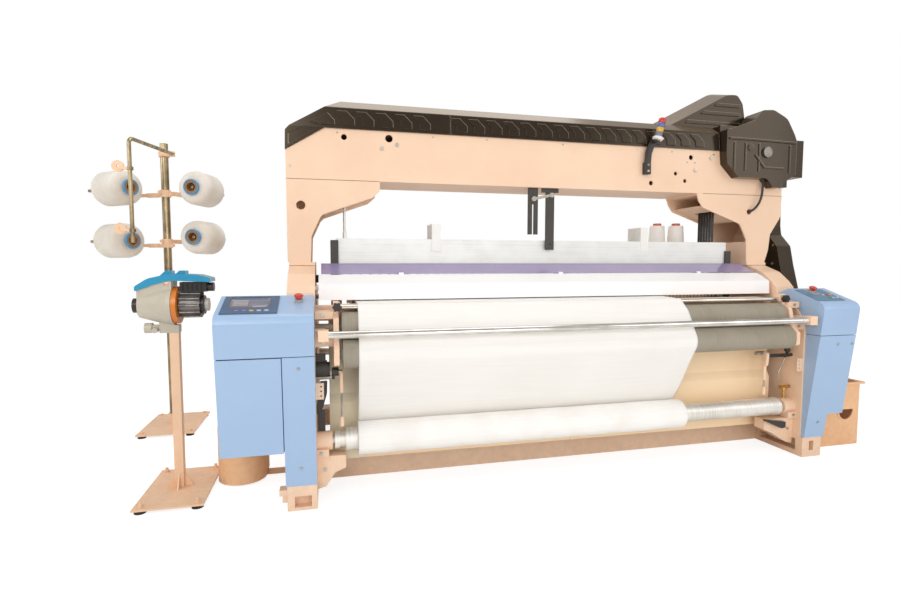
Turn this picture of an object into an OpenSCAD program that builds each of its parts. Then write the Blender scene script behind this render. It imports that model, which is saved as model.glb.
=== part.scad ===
// Water-jet power loom with an overhead dobby gantry, a weft creel and a weft feeder stand.
// X runs along the weaving width, Y from front to back, Z up. Sizes are in millimetres.

/* [Placement] */
// Centre of the loom itself, along X, from the origin of the whole part
loom_x = 445; // [300:5:600]
// Front face of the loom's feet, along Y, from the origin of the whole part
front_y = -810; // [-1000:5:-600]

/* [Side frames] */
// Distance from the loom's centre to the inner face of each side frame
frame_inner = 1335; // [1300:5:1500]
// Width of each side frame casting
frame_w = 130; // [110:5:160]
// Depth of the side frames from front foot to rear foot
frame_len = 1500; // [1450:10:1600]
// Thickness of the web of the casting
web_t = 20; // [14:1:30]
// Height of the feet and of the cross beams
foot_h = 112; // [100:2:130]
// Height of the seat under the gantry legs
seat_z = 1090; // [1080:2:1110]

/* [Gantry] */
// Front face of the gantry behind the front of the feet
gantry_y = 450; // [440:1:470]
// Depth of the gantry from front plate to rear plate
gantry_d = 300; // [280:5:340]
// Distance from the loom's centre to the left end of the gantry
gantry_left = 1472; // [1468:1:1490]
// Distance from the loom's centre to the right end of the gantry
gantry_right = 1578; // [1570:1:1600]
// Height of the underside of the gantry beam
gantry_z = 1533; // [1520:1:1560]
// Height of the gantry beam
gantry_h = 262; // [240:2:280]
// Thickness of the folded plate of beam and legs
plate_t = 10; // [6:1:14]
// Height of the moulded ridge cover over the beam
ridge_h = 158; // [150:2:175]
// Spacing of the chevrons on the ridge cover
chevron_pitch = 100; // [98:1:120]
// How far a chevron stands out of the ridge cover
chevron_out = 6; // [3:1:10]

/* [Cloth rollers] */
// Gap from each end of the take-up and press rollers to the side frame
roller_end_gap = 119; // [112:1:180]
// Radius of the take-up roller
take_up_r = 72; // [60:1:76]
// Radius of the press roller
press_r = 64; // [50:1:70]
// Gap between rollers that run against each other
roller_gap = 0.4; // [0.3:0.1:2]
// Radius of the tube of the cloth roller
cloth_tube_r = 49; // [40:1:60]
// Radius of the wound roll of cloth
cloth_roll_r = 77; // [65:1:90]
// Thickness of the cloth
cloth_t = 2; // [1.5:0.5:3]
// Width of the cloth
cloth_w = 1740; // [1400:10:2000]
// Distance from the loom's centre to the left edge of the cloth
cloth_left = 1145; // [1100:5:1160]
// Outside diameter of the handrail
handrail_d = 34; // [25:1:40]
// Radial clearance of a shaft in its bearing
run_fit = 0.08; // [0.02:0.01:0.1]

/* [Shed] */
// Number of heald frames, front to back
heald_count = 6; // [4:1:6]
// Spacing of the heald frames
heald_pitch = 24; // [20:1:26]
// Thickness of a heald frame
heald_t = 10; // [8:1:12]
// Height of the top edge of a heald frame
heald_top = 1235; // [1220:5:1260]
// Height of a heald frame from bottom rail to top rail
heald_h = 560; // [500:10:600]
// Number of healds that hang in each frame
heald_wires = 44; // [20:1:60]
// Number of dents in the reed
reed_dents = 90; // [40:1:110]

/* [Covers] */
// Width of the control box on the left, outside the column
box_w = 265; // [220:5:320]
// Width of the cover on the right
right_cover_w = 245; // [200:5:300]
// Wall of the moulded and folded covers
cover_t = 4; // [3:0.5:6]
// Angle of the sloping control desks
desk_slope = 19; // [12:1:25]

/* [Warp side] */
// Radius of the flanges of the warp beam
flange_r = 340; // [300:5:345]
// Radius of the warp wound on the beam
warp_r = 280; // [200:5:290]
// Height of the axis of the warp beam
beam_z = 500; // [450:5:520]

/* [Stands] */
// Height of the post of the creel
creel_h = 1880; // [1700:10:2000]
// Outside diameter of the post of the creel
creel_post_d = 48; // [40:1:55]
// Outside diameter of a weft package
pack_d = 216; // [180:2:230]
// Length of a weft package
pack_l = 250; // [200:5:260]
// Height of the post of the feeder stand
feeder_post_h = 775; // [700:5:850]
// Side of the square post of the feeder stand
feeder_post_w = 40; // [30:1:50]

/* [Hidden] */
$fn = 64;
e = 0.1;
seat_gap = 0.3;

// Paint and metal colours
peach = [0.96, 0.78, 0.62];
box_blue = [0.62, 0.72, 0.87];
black = [0.13, 0.12, 0.12];
steel = [0.72, 0.72, 0.70];
zinc = [0.72, 0.62, 0.42];
rubber_grey = [0.50, 0.48, 0.43];
white = [0.95, 0.95, 0.94];

gantry_rear = gantry_y + gantry_d;
// Roller axes, as distances from the front of the feet and heights
take_up_axis = [94, 806];
nip_angle = 236.1;
press_axis = take_up_axis + (take_up_r + press_r + roller_gap) * [cos(nip_angle), sin(nip_angle)];
guide_axis = [100, take_up_axis.y + take_up_r + 21];
guide_r = 11;
cloth_axis = [100, 278];
handrail_axis = [-48, 790];
shaft_r = 20;
rocking_axis = [350, 560];
rocking_r = 25;
warp_axis = [1330, beam_z];
warp_shaft_r = 32;
back_rest_r = 60;
back_rest_axis = [1200, 893];

// Distance of the bearing brackets from the loom's centre
bracket_t = 24;
roller_half = frame_inner - roller_end_gap;
bracket_x = roller_half + 14;

function unit(v) = v / norm(v);
// Points of the fillet of radius r at corner p, between its neighbours a and b
function fillet(a, p, b, r, n = 6) = r <= 0 ? [p] :
  let (u = unit(a - p), v = unit(b - p), half = acos(u * v) / 2,
       c = p + unit(u + v) * r / sin(half),
       s = p + u * r / tan(half) - c, f = p + v * r / tan(half) - c,
       a0 = atan2(s.y, s.x), sweep = (atan2(f.y, f.x) - a0 + 540) % 360 - 180)
  [for (i = [0:n]) c + r * [cos(a0 + sweep * i / n), sin(a0 + sweep * i / n)]];
function flat(p) = [p.x, p.y];
// An outline whose corners may carry a fillet radius as a third number
function rounded(pts) = let (k = len(pts))
  [for (i = [0:k - 1]) each fillet(flat(pts[(i + k - 1) % k]), flat(pts[i]),
    flat(pts[(i + 1) % k]), len(pts[i]) > 2 ? pts[i][2] : 0)];
function arc_pts(c, r, a0, a1, n) = [for (i = [0:n]) c + r * [cos(a0 + (a1 - a0) * i / n),
  sin(a0 + (a1 - a0) * i / n)]];
// Angle of the common tangent's normal for two circles that a band passes on the same side
function tangent_angle(c1, r1, c2, r2, side) =
  atan2(c2.y - c1.y, c2.x - c1.x) + side * acos((r1 - r2) / norm(c2 - c1));

module in_loom() translate([loom_x, front_y, 0]) children();
// Solid along X from a profile in Y and Z
module along_x(x0, x1) translate([x0, 0, 0]) rotate([90, 0, 90]) linear_extrude(x1 - x0) children();
// Solid along Y from an outline in X and Z
module along_y(y0, y1) translate([0, y1, 0]) rotate([90, 0, 0]) linear_extrude(y1 - y0) children();
module x_rod(axis, r, x0, x1) translate([x0, axis.x, axis.y]) rotate([0, 90, 0]) cylinder(r = r,
  h = x1 - x0);
module y_rod(x, z, r, y0, y1) translate([x, y1, z]) rotate([90, 0, 0]) cylinder(r = r, h = y1 - y0);
module box(x0, x1, y0, y1, z0, z1) translate([x0, y0, z0]) cube([x1 - x0, y1 - y0, z1 - z0]);
module up(h) translate([0, 0, h]) children();
module both_sides() for (m = [0, 1]) mirror([m, 0, 0]) children();

// Side frame castings: a web with a deep rim, feet, a curved front and a seat for the gantry leg
frame_outer = frame_inner + frame_w;
front_edge = 20;
nose_r = 190;
nose_c = [front_edge + nose_r, 705];
foot_len = 460;
rear_foot = 320;
shoulder_z = 960;
shaft_deep = frame_inner + web_t - 4;
beam_bore_deep = frame_inner + 50;
function frame_outline() = concat(
  [[0, 0], [foot_len, 0], [foot_len, foot_h], [frame_len - rear_foot, foot_h],
   [frame_len - rear_foot, 0], [frame_len, 0], [frame_len, 620], [frame_len - 80, 830],
   [frame_len - 200, shoulder_z], [gantry_rear + 50, shoulder_z],
   [gantry_rear + 9, seat_z], [gantry_y - 6, seat_z], [gantry_y - 121, seat_z - 41],
   [gantry_y - 191, seat_z - 94], [nose_c.x + 15, shoulder_z], [nose_c.x, nose_c.y + nose_r]],
  arc_pts(nose_c, nose_r, 97, 180, 10), [[front_edge, foot_h], [0, foot_h]]);

module frame_pocket(outline) along_x(frame_inner + web_t, frame_outer + e) polygon(rounded(outline));
module frame_casting() {
  difference() {
    along_x(frame_inner, frame_outer) polygon(frame_outline());
    frame_pocket([[55, 150, 20], [430, 150, 20], [430, 470, 20], [55, 470, 20]]);
    frame_pocket([[55, 500, 20], [620, 500, 20], [620, 920, 20], [370, 920, 60], [215, 850, 90], [55,
      700, 60]]);
    frame_pocket([[470, 150, 20], [1160, 150, 20], [1160, 470, 20], [470, 470, 20]]);
    frame_pocket([[1200, 60, 20], [1450, 60, 20], [1450, 400, 20], [1200, 400, 20]]);
    along_x(frame_inner - e, frame_outer + e) polygon(rounded([[660, 520, 40], [1060, 520, 40],
      [1060, 830, 40], [660, 830, 40]]));
    // Cored pocket above the foot, open to the inside
    along_x(frame_inner - e, frame_inner + 60) polygon(rounded([[45, 28, 8], [300, 28, 8],
      [300, 60, 8], [45, 96, 8]]));
    x_rod(warp_axis, warp_shaft_r + run_fit, frame_inner - e, beam_bore_deep);
    x_rod(back_rest_axis, shaft_r + run_fit, frame_inner - e, beam_bore_deep);
    x_rod(rocking_axis, rocking_r + run_fit, frame_inner - e, shaft_deep);
    x_rod(cloth_axis, shaft_r + run_fit, frame_inner - e, shaft_deep);
    x_rod(take_up_axis, shaft_r + run_fit, frame_inner - e, shaft_deep);
  }
}

// Bearing bracket inside the frame: one plate with the axes of the cloth rollers, on two blocks
knob_stem_r = 5;
knob_boss = [bracket_x - 8, 76];
knob_z = guide_axis.y + 4;
module bearing_bracket() {
  difference() {
    union() {
      along_x(bracket_x, bracket_x + bracket_t) polygon(rounded([[-30, 650, 14], [48, 640, 20],
        [75, 720, 12], [165, 745, 20], [165, 860, 30], [130, 928, 18], [knob_boss.y, 928, 8],
        [knob_boss.y, 872, 8], [30, 852, 16], [4, 750, 20], [-30, 720, 16]]));
      box(bracket_x + bracket_t - e, frame_inner + e, 60, 150, 850, 884);
      box(bracket_x + bracket_t - e, frame_inner + e, 26, 80, 730, 770);
      box(knob_boss.x, bracket_x + e, knob_boss.y, 124, 886, 924);
    }
    x_rod(take_up_axis, shaft_r + run_fit, bracket_x - e, frame_inner + e);
    x_rod(press_axis, shaft_r + run_fit, bracket_x - e, bracket_x + bracket_t + e);
    x_rod(guide_axis, guide_r, knob_boss.x - e, bracket_x + bracket_t + e);
    y_rod(knob_boss.x + 14, knob_z, knob_stem_r + run_fit, knob_boss.y - e, guide_axis.x);
  }
}

// Bearing of the cloth roller: a cup on a foot, on the right with a bore on top for a clamp screw
cup_x = frame_inner - 70;
cup_r = 44;
handle_x = cup_x + 31;
handle_r = 8;
module cloth_bearing(screw_bore) {
  difference() {
    union() {
      x_rod(cloth_axis, cup_r, cup_x, frame_inner + e);
      box(cup_x + 17, frame_inner + e, cloth_axis.x - 50, cloth_axis.x + 90, cloth_axis.y - 62,
        cloth_axis.y - 28);
    }
    x_rod(cloth_axis, shaft_r + run_fit, cup_x - e, frame_inner + e);
    if (screw_bore) translate([handle_x, cloth_axis.x, cloth_axis.y])
      cylinder(r = handle_r + run_fit, h = 60);
  }
}

// Block that holds the end of the handrail
rail_end = frame_inner - 35;
module rail_block() {
  difference() {
    union() {
      box(rail_end - 24, rail_end + 20, handrail_axis.x - 24, handrail_axis.x + 24,
        handrail_axis.y - 24, handrail_axis.y + 24);
      box(rail_end - 10, frame_inner + e, handrail_axis.x + 20, front_edge + 50,
        handrail_axis.y - 18, handrail_axis.y + 18);
    }
    x_rod(handrail_axis, handrail_d / 2, rail_end - 30, rail_end);
  }
}

// Stepped bracket near the foot, under the end of the cloth roller
foot_bracket_y = 70;
module foot_bracket(reach) {
  along_y(foot_bracket_y, foot_bracket_y + 70) polygon([[frame_inner + e, 60], [frame_inner + e, 214],
    [reach, 210], [reach, 152],
    [reach + 50, 132], [frame_inner - 40, 70]]);
}
module side_frame_solid(reach, screw_bore) {
  frame_casting();
  bearing_bracket();
  cloth_bearing(screw_bore);
  rail_block();
  foot_bracket(reach);
}

module left_side_frame() {
  color(peach) in_loom() mirror([1, 0, 0]) {
    difference() {
      side_frame_solid(1205, false);
      box(frame_inner + 25, frame_inner + 98, -e, 40, 15, 65);
    }
    // Small bracket at the outside of the foot
    box(frame_outer - e, frame_outer + 34, 6, 60, 70, 96);
    box(frame_outer - e, frame_outer + 22, 14, 60, 36, 70 + e);
  }
}

module right_side_frame() {
  color(peach) in_loom() difference() {
    side_frame_solid(1140, true);
    box(frame_inner + 48, frame_inner + 79, -e, 40, 36, 91);
  }
}

// Front and rear cross beams, folded box sections between the frames
module cross_beams() {
  color(peach) in_loom() for (y = [foot_len - 130, frame_len - rear_foot + 60]) difference() {
    box(-frame_inner, frame_inner, y, y + 120, 0, foot_h);
    box(-frame_inner - e, frame_inner + e, y + 8, y + 112, 8, foot_h - 8);
  }
}

// Gantry beam: a folded box, its left end sloping, its right end cut away under the dobby
gantry_top = gantry_z + gantry_h;
slope_x = gantry_left - 194;
slope_z = gantry_top - 117;
cut_x = 1155;
function beam_outline(in) = [[-gantry_left + in, gantry_z + in], [gantry_right - in, gantry_z + in],
  [gantry_right - in, gantry_z + 47 - in], [1526 - in, gantry_z + 52 - in], [1470 - in,
    gantry_z + 103 - in],
  [1250 - in, gantry_z + 108 - in], [cut_x - in, gantry_top - in], [-slope_x + in / 2, gantry_top - in],
  [-gantry_left + in, slope_z - in / 2]];
heald_y = gantry_y + 47;
hanger_left = -1180;
hanger_right = 1110;
hanger_reach = (heald_count - 1) * heald_pitch + heald_t;
module hanger_slots(z0, z1) {
  for (x = [hanger_left, hanger_right])
    box(x - 22, x + 22, heald_y - 20, heald_y + hanger_reach + 20, z0, z1);
}

// Holes in the front plate, each as distance from the centre, height and radius
beam_holes = [[-1180, 1754, 15], [-947, 1759, 20], [626, 1583, 14], [794, 1646, 12], [860, 1604, 12],
  [898, 1747, 15]];
module gantry_beam() {
  color(peach) in_loom() difference() {
    along_y(gantry_y, gantry_rear) polygon(beam_outline(0));
    along_y(gantry_y + plate_t, gantry_rear - plate_t) polygon(beam_outline(plate_t));
    hanger_slots(gantry_z - e, gantry_z + plate_t + e);
    box(cut_x - 250, cut_x - 100, gantry_y + 60, gantry_rear - 60, gantry_top - plate_t - e,
      gantry_top + e);
    for (h = beam_holes) y_rod(h.x, h.y, h[2], gantry_y - e, gantry_y + plate_t + e);
  }
}

// Gantry legs: front and rear plates with rounded corners, webs between them and a foot plate
leg_gap = 0.4;
leg_foot = seat_z + 18;
leg_top = gantry_z - leg_gap;
function left_leg_outline() = rounded([[-gantry_left, leg_top], [-gantry_left, leg_foot - e],
  [-1356, leg_foot - e], [-1351, 1243, 30], [-1307, 1338, 20], [-1290, 1356, 12], [-1039, 1446, 20],
  [-997, 1484, 16], [-997, leg_top]]);
function right_leg_outline() = rounded([[gantry_right + 4, leg_top], [948, leg_top],
  [965, 1486, 20], [995, 1446, 20], [1271, 1351, 40], [1321, 1257, 30], [1329, leg_foot - e],
  [1465, leg_foot - e], [1492, 1188, 20], [1503, 1291, 30], [1571, 1390, 40]]);
module leg_plates(outline) {
  along_y(gantry_y, gantry_y + plate_t) polygon(outline);
  along_y(gantry_rear - plate_t, gantry_rear) polygon(outline);
}
// Web between the plates along two points
module leg_web(a, b) {
  normal = plate_t * unit([b.y - a.y, a.x - b.x]);
  along_y(gantry_y + e, gantry_rear - e) polygon([a, b, b + normal, a + normal]);
}

module gantry_leg_left() {
  color(peach) in_loom() difference() {
    union() {
      leg_plates(left_leg_outline());
      box(-gantry_left, -gantry_left + plate_t, gantry_y, gantry_rear, leg_foot - e, leg_top);
      leg_web([-1060, 1452], [-1290, 1370]);
      leg_web([-1364, 1230], [-1364, leg_foot - e]);
      box(-frame_outer, -frame_inner, gantry_y - 6, gantry_rear + 6, seat_z, leg_foot);
      box(-gantry_left, -997, gantry_y, gantry_rear, leg_top - plate_t, leg_top);
    }
    hanger_slots(1300, gantry_z);
    y_rod(-1402, 1400, 23, gantry_y - e, gantry_y + plate_t + e);
  }
}

hose_hole = [1335, 1428];
module gantry_leg_right() {
  color(peach) in_loom() difference() {
    union() {
      leg_plates(right_leg_outline());
      leg_web([1262, 1368], [1010, 1454]);
      leg_web([1338, leg_foot - e], [1331, 1240]);
      leg_web([1494, 1294], [1560, 1392]);
      leg_web([1456, leg_foot - e], [1481, 1186]);
      leg_web([1481, 1180], [1492, 1298]);
      box(frame_inner - 8, frame_outer + 6, gantry_y - 6, gantry_rear + 6, seat_z, leg_foot);
      box(948, gantry_right, gantry_y, gantry_rear, leg_top - plate_t, leg_top);
      box(gantry_right - plate_t, gantry_right, gantry_y, gantry_rear, 1400, leg_top);
    }
    hanger_slots(1300, gantry_z);
    y_rod(hose_hole.x, hose_hole.y, 17, gantry_y - e, gantry_y + plate_t + e);
  }
}

// Ridge cover: a vacuum-formed shell along the top of the beam with a row of chevrons
ridge_top = gantry_top + ridge_h;
ridge_front = gantry_y - 10;
ridge_back = gantry_rear + 10;
ridge_lean = 12;
ridge_edge = ridge_top - 50;
ridge_end = cut_x - 61;
face_h = ridge_edge - gantry_top;
function ridge_section(in) = rounded([[ridge_front + in, slope_z - 20], [ridge_front + in, gantry_top],
  [ridge_front + ridge_lean + in, ridge_edge, 10], [ridge_front + 79, ridge_top - in, 12],
  [ridge_back - 60, ridge_top - in, 30], [ridge_back - in, ridge_top - 75, 20], [ridge_back - in,
    slope_z - 20]]);
function ridge_side(in) = rounded([[-gantry_left - 2 + in, slope_z + 1 + in], [-gantry_left + in,
  slope_z + 96, 12],
  [-1450 + in, slope_z + 120, 12], [-1192 + in, ridge_top + e], [ridge_end - in, ridge_top + e],
  [ridge_end - in, gantry_top + seat_gap + in], [-slope_x + in / 4, gantry_top + seat_gap + in]]);
chevron = [[0, 0], [50, 0], [90, -40], [90, -74], [33, -74], [31, -38], [0, -6]];
chevron_first = -1215;
seam_x = -622;
seam_w = 9;
chevrons_left = floor((seam_x - chevron_first) / chevron_pitch);
chevrons_right = floor((ridge_end - 20 - seam_x - seam_w) / chevron_pitch);
chevron_starts = concat([for (i = [0:chevrons_left - 1]) chevron_first + i * chevron_pitch],
  [for (i = [0:chevrons_right - 1]) seam_x + seam_w + 2 + i * chevron_pitch]);

module ridge_shell(in) intersection() {
  along_x(-gantry_left - 10, ridge_end + 10) polygon(ridge_section(in));
  along_y(ridge_front - 20, ridge_back + 20) polygon(ridge_side(in));
}
// Turns an outline into the leaning front face, with its height counted from the top of the beam
module on_ridge_face(out) translate([0, ridge_front - out, gantry_top])
  rotate([90 - atan(ridge_lean / face_h), 0, 0]) up(-12) linear_extrude(12) children();

module ridge_cover() {
  color(black) in_loom() difference() {
    union() {
      ridge_shell(0);
      for (x = chevron_starts) on_ridge_face(chevron_out) translate([x, 91]) polygon(chevron);
      on_ridge_face(chevron_out) translate([chevron_first, 91])
        polygon([[-137, -62], [-46, -14], [-11, -50], [-11, -74], [-98, -74]]);
      on_ridge_face(3) translate([seam_x, 2]) square([seam_w, face_h - 8]);
    }
    ridge_shell(cover_t);
    box(-gantry_left + 60, ridge_end - 60, gantry_y + 40, gantry_rear - 40, slope_z,
      gantry_top + 20);
    // Recessed field at the sloping end
    along_y(ridge_front - 20, ridge_front + 3) polygon(rounded([[-gantry_left + 14, slope_z + 24, 5],
      [-gantry_left + 16, slope_z + 80, 5], [-1372, 1800, 5], [-1320, 1788, 5]]));
  }
}

// Rear hood: a leaning, curved cover behind the ridge with raised ribs on its front
hood_front = ridge_front + 89;
hood_back = ridge_back - 62;
hood_lean = 18;
hood_foot = ridge_top + seat_gap;
function hood_outline(in) = rounded([[802 + 2 * in, -30], [802 + 2 * in, 0], [1121 + in, 158 - in, 400],
  [1212, 204 - in, 160], [1288 - in, 207 - in, 40], [1328 - in, 158, 40], [1345 - in, 80], [1345 - in,
    -30]]);
module hood_prism(in) translate([0, hood_front, hood_foot]) rotate([hood_lean, 0, 0]) along_y(-100, 400)
  polygon(hood_outline(in));
module rear_hood() {
  color(black) in_loom() difference() {
    union() {
      intersection() {
        hood_prism(0);
        box(700, 1400, hood_front, hood_back, hood_foot, hood_foot + 400);
      }
      for (rib = [[900, 22], [1014, 84], [1112, 138]])
        along_y(hood_front - 6, hood_front + e) polygon(rounded([[rib.x, hood_foot + rib.y, 4],
          [rib.x + 26, hood_foot + rib.y + 20, 4], [1306, hood_foot + rib.y + 20, 4], [1306,
            hood_foot + rib.y, 4]]));
    }
    intersection() {
      hood_prism(cover_t);
      box(700, 1400, hood_front + cover_t, hood_back - cover_t, hood_foot - e, hood_foot + 400);
    }
  }
}

// Dobby housing at the right end of the beam: a domed front part and a lower part over the cut in the beam
dobby_front = gantry_y - 61;
dome_back = hood_front - 6 - seat_gap;
dobby_left = ridge_end + 6;
function dobby_outline(in) = rounded([[dobby_left + in, 1919 - in, 14], [1135 + in, 1922 - in, 14],
  [1300 + in / 2, 1980 - in, 20], [1354 + in, 2044 - in, 30], [1435, 2050 - in, 70], [1540 - in, 2003, 90],
  [1600 - in, 1907, 60], [1617 - in, 1870, 20], [1617 - in, 1660], [1522 - in, 1609, 6], [1514 - in,
    1577 + in, 8],
  [1454 + in, 1577 + in, 8], [1400 + in / 2, 1631 + in, 8], [1193 + in, 1631 + in, 16],
  [dobby_left + 8 + in, 1712, 16], [dobby_left + in, 1780, 8]]);
function dobby_low_outline(in) = rounded([[dobby_left + in, ridge_top - seat_gap - in], [1380,
  ridge_top - seat_gap - in, 30],
  [1560 - in, 1900, 30], [1617 - in, 1870, 20], [1617 - in, 1590 + in], [1500, 1590 + in], [1100 + in,
    gantry_z + 90]]);
module dobby_volume(in) difference() {
  union() {
    along_y(dobby_front + in, dome_back - in) polygon(dobby_outline(in));
    along_y(gantry_y + in, ridge_back - in) polygon(dobby_low_outline(in));
  }
  along_y(gantry_y - seat_gap - in, ridge_back + 1) polygon(beam_outline(-seat_gap - in));
}
block_right = 1702;
hose_r = 7;
hose_start = [1408, 425, 1630];
module dobby_housing() {
  color(black) in_loom() difference() {
    union() {
      dobby_volume(0);
      box(1617 - e, block_right, dobby_front + 30, ridge_back - 30, 1650, 1882);
      y_rod(1393, 1789, 34, dobby_front - 9, dobby_front + e);
      y_rod(1271, 1813, 20, dobby_front - 6, dobby_front + e);
      for (x = [1150, 1230, 1330, 1560]) box(x, x + 9, dobby_front - 5, dobby_front + e, 1670, 1840);
      along_y(dobby_front - 8, dobby_front + e) polygon([[1116, 1868], [1270, 1868], [1610, 1862],
        [1610, 1850],
        [1270, 1856], [1116, 1856]]);
      along_y(dobby_front - 6, dobby_front + e) polygon([[1310, 1776], [1380, 1700], [1520, 1700],
        [1520, 1690],
        [1375, 1690], [1300, 1770]]);
    }
    dobby_volume(cover_t);
    // Opening to the drive in the floor over the beam
    box(1290, 1440, gantry_y + 60, ridge_back - 70, 1600, 1660);
    translate([hose_start.x, hose_start.y, 1600]) cylinder(r = hose_r + seat_gap, h = 60);
  }
}

// Belt cover outside the right frame, from the floor level up to the dobby drive
drive_x = gantry_right + 6;
drive_w = 106;
drive_neck = 1572;
function drive_profile(in) = rounded([[330 + in, 300 + in, 20], [330 + in, 700, 60], [396 + in, 931],
  [443 + in, 1092, 40], [472 + in, 1215, 40], [546 + in, 1292, 30], [556 + in, 1352], [560 + in,
    drive_neck + 4 * in],
  [680 - in, drive_neck + 4 * in], [680 - in, 1352, 40], [770 - in, 1160, 90], [820 - in, 920, 60],
    [820 - in, 300 + in, 20]]);
module drive_cover() {
  color(black) in_loom() difference() {
    union() {
      along_x(drive_x, drive_x + drive_w) polygon(drive_profile(0));
      for (p = [[640, 560], [640, 880], [600, 485]]) x_rod(p, 12, frame_outer, drive_x + e);
    }
    along_x(drive_x + cover_t, drive_x + drive_w - cover_t) polygon(drive_profile(cover_t));
  }
}

// Signal tower: curved bracket on a foot at the beam, with a stack of four lamps leaning to the right
tower_tilt = 14;
lamp_h = 27;
lamp_r = 20;
tower_y = ridge_front - chevron_out - 6;
module signal_tower() {
  color(black) in_loom() {
    box(564, 604, tower_y - e, gantry_y, 1630, 1700);
    along_y(tower_y - 8, tower_y) polygon(rounded([[564, 1630, 4], [604, 1630, 4], [600, 1730, 60],
      [650, 1822, 10],
      [606, 1832, 6], [566, 1760, 60]]));
    box(600, 640, tower_y - 36, tower_y - 8 + e, 1816, 1826);
    translate([622, tower_y - 36, 1824]) rotate([0, tower_tilt, 0]) {
      cylinder(r1 = 26, r2 = 34, h = 10);
      up(10 - e) cylinder(r1 = 34, r2 = 25, h = 8);
      for (i = [0:3]) up(17 + i * lamp_h) {
        cylinder(r = lamp_r - 3, h = 3 + e);
        up(3) cylinder(r = lamp_r, h = lamp_h - 3 + e);
      }
      up(17 + 4 * lamp_h) cylinder(r1 = lamp_r, r2 = lamp_r - 6, h = 4);
    }
  }
}

// Control desks: hoods with a rounded front edge and a sloping top
hood_seam = 705;
front_lean = -72;
cover_lean = atan(front_lean / (hood_seam - foot_h));
function cover_front(z) = (z - foot_h) * tan(cover_lean);
desk_front = cover_front(hood_seam) - 18;
desk_edge_z = 878;
desk_back = 140;
desk_back_z = desk_edge_z + (desk_back - desk_front) * tan(desk_slope);
desk_rear = 285;
function hood_profile(in) = rounded([[cover_front(hood_seam) + in, hood_seam + 1], [desk_front + in,
  desk_edge_z - in, 46 - in],
  [desk_back, desk_back_z - in, 30], [desk_rear - in, desk_back_z - 62 - in, 20], [desk_rear - in,
    hood_seam + 1]]);
module desk_hood(x0, x1) difference() {
  along_x(x0, x1) polygon(hood_profile(0));
  up(-e) along_x(x0 + cover_t, x1 - cover_t) polygon(hood_profile(cover_t));
}
// Position on the sloping desk, at a distance behind the front of the feet
function desk_z(y) = desk_edge_z + (y - desk_front) * tan(desk_slope);
module on_desk(x, y) translate([x, y, desk_z(y)]) rotate([desk_slope, 0, 0]) children();

left_in = -frame_inner - 1;
left_mid = -frame_outer - 5;
left_out = left_mid - box_w;
right_in = frame_inner + 10;
right_out = right_in + right_cover_w;
screen_at = [(left_out + left_mid) / 2 + 2, 33];
keys_at = [right_in + 100, 32];
stop_left = [-1402, 66];
stop_right = [right_in + 92, 78];
stop_r = 21;
stop_stem_r = 11;
collar_r = 18;
collar_bore = stop_stem_r + run_fit;
stop_up = 20;
nose_clear = 1;
module stop_bore(at) on_desk(at.x, at.y) up(-40) cylinder(r = collar_r - 4 + seat_gap,
  h = 80);

// Room for the curved front and the top of the left side frame inside a cover
module frame_room() along_x(-frame_outer - 3, -frame_inner + 3) polygon(concat(
  arc_pts(nose_c, nose_r + nose_clear, 90, 180, 10), [[front_edge - nose_clear, 600], [400, 600],
  [400, shoulder_z + 40], [nose_c.x + 8, shoulder_z + 8]]));

module left_hood() {
  color(box_blue) in_loom() difference() {
    desk_hood(left_out, left_in);
    frame_room();
    on_desk(screen_at.x, screen_at.y) box(-105, 105, -79, 79, -30, 30);
    stop_bore(stop_left);
  }
}

// Cabinet behind the door: an open box with a mounting plate, relays and a drive inside
door_bottom = 272;
door_t = 22;
cabinet_top = hood_seam + 1 - seat_gap;
module cabinet_box() {
  color(box_blue) in_loom() {
    difference() {
      along_x(left_out + 2, left_mid - 2) polygon([[cover_front(door_bottom) + door_t + seat_gap,
        door_bottom],
        [cover_front(cabinet_top) + door_t + seat_gap, cabinet_top], [desk_rear - 2, cabinet_top],
          [desk_rear - 2, door_bottom]]);
      along_x(left_out + 5, left_mid - 5) polygon([[cover_front(door_bottom) + 10, door_bottom + 4],
        [cover_front(cabinet_top) + 12, cabinet_top - 5], [desk_rear - 6, cabinet_top - 5],
          [desk_rear - 6, door_bottom + 4]]);
    }
    box(left_out + 20, left_mid - 20, desk_rear - 20, desk_rear - 6 + e, 300, 680);
    for (i = [0:4]) box(left_out + 40 + i * 36, left_out + 68 + i * 36, desk_rear - 70,
      desk_rear - 20 + e, 560, 640);
    box(left_out + 40, left_mid - 60, desk_rear - 120, desk_rear - 20 + e, 340, 500);
    for (z = [330, 640]) box(left_mid - 2 - e, -frame_inner - web_t, 120, 160, z, z + 30);
  }
}

// Cabinet door: a folded pan, hinged on its outer edge
door_top = hood_seam - 4;
door_right = left_mid - 4;
module door_pan(in, back) along_x(left_out + in, door_right - in) polygon([
  [cover_front(door_bottom) + in, door_bottom + in], [cover_front(door_top) + in, door_top - in],
  [cover_front(door_top) + door_t + back, door_top - in], [cover_front(door_bottom) + door_t + back,
    door_bottom + in]]);
module cabinet_door() {
  color(box_blue) in_loom() difference() {
    door_pan(0, 0);
    door_pan(cover_t, e);
  }
}

// Cover of the left column, a shell in front of the side frame
module column_cover() {
  color(box_blue) in_loom() difference() {
    along_x(left_mid, left_in) polygon([[0, foot_h + seat_gap], [cover_front(hood_seam - 2), hood_seam - 2],
      [front_edge - nose_clear, hood_seam - 2], [front_edge - nose_clear, foot_h + seat_gap]]);
    along_x(left_mid + cover_t, left_in - cover_t) polygon([[cover_t, foot_h - 4],
      [cover_front(hood_seam) + cover_t, hood_seam - 2 - cover_t], [front_edge, hood_seam - 2 - cover_t],
      [front_edge, foot_h - 4]]);
  }
}

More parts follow.
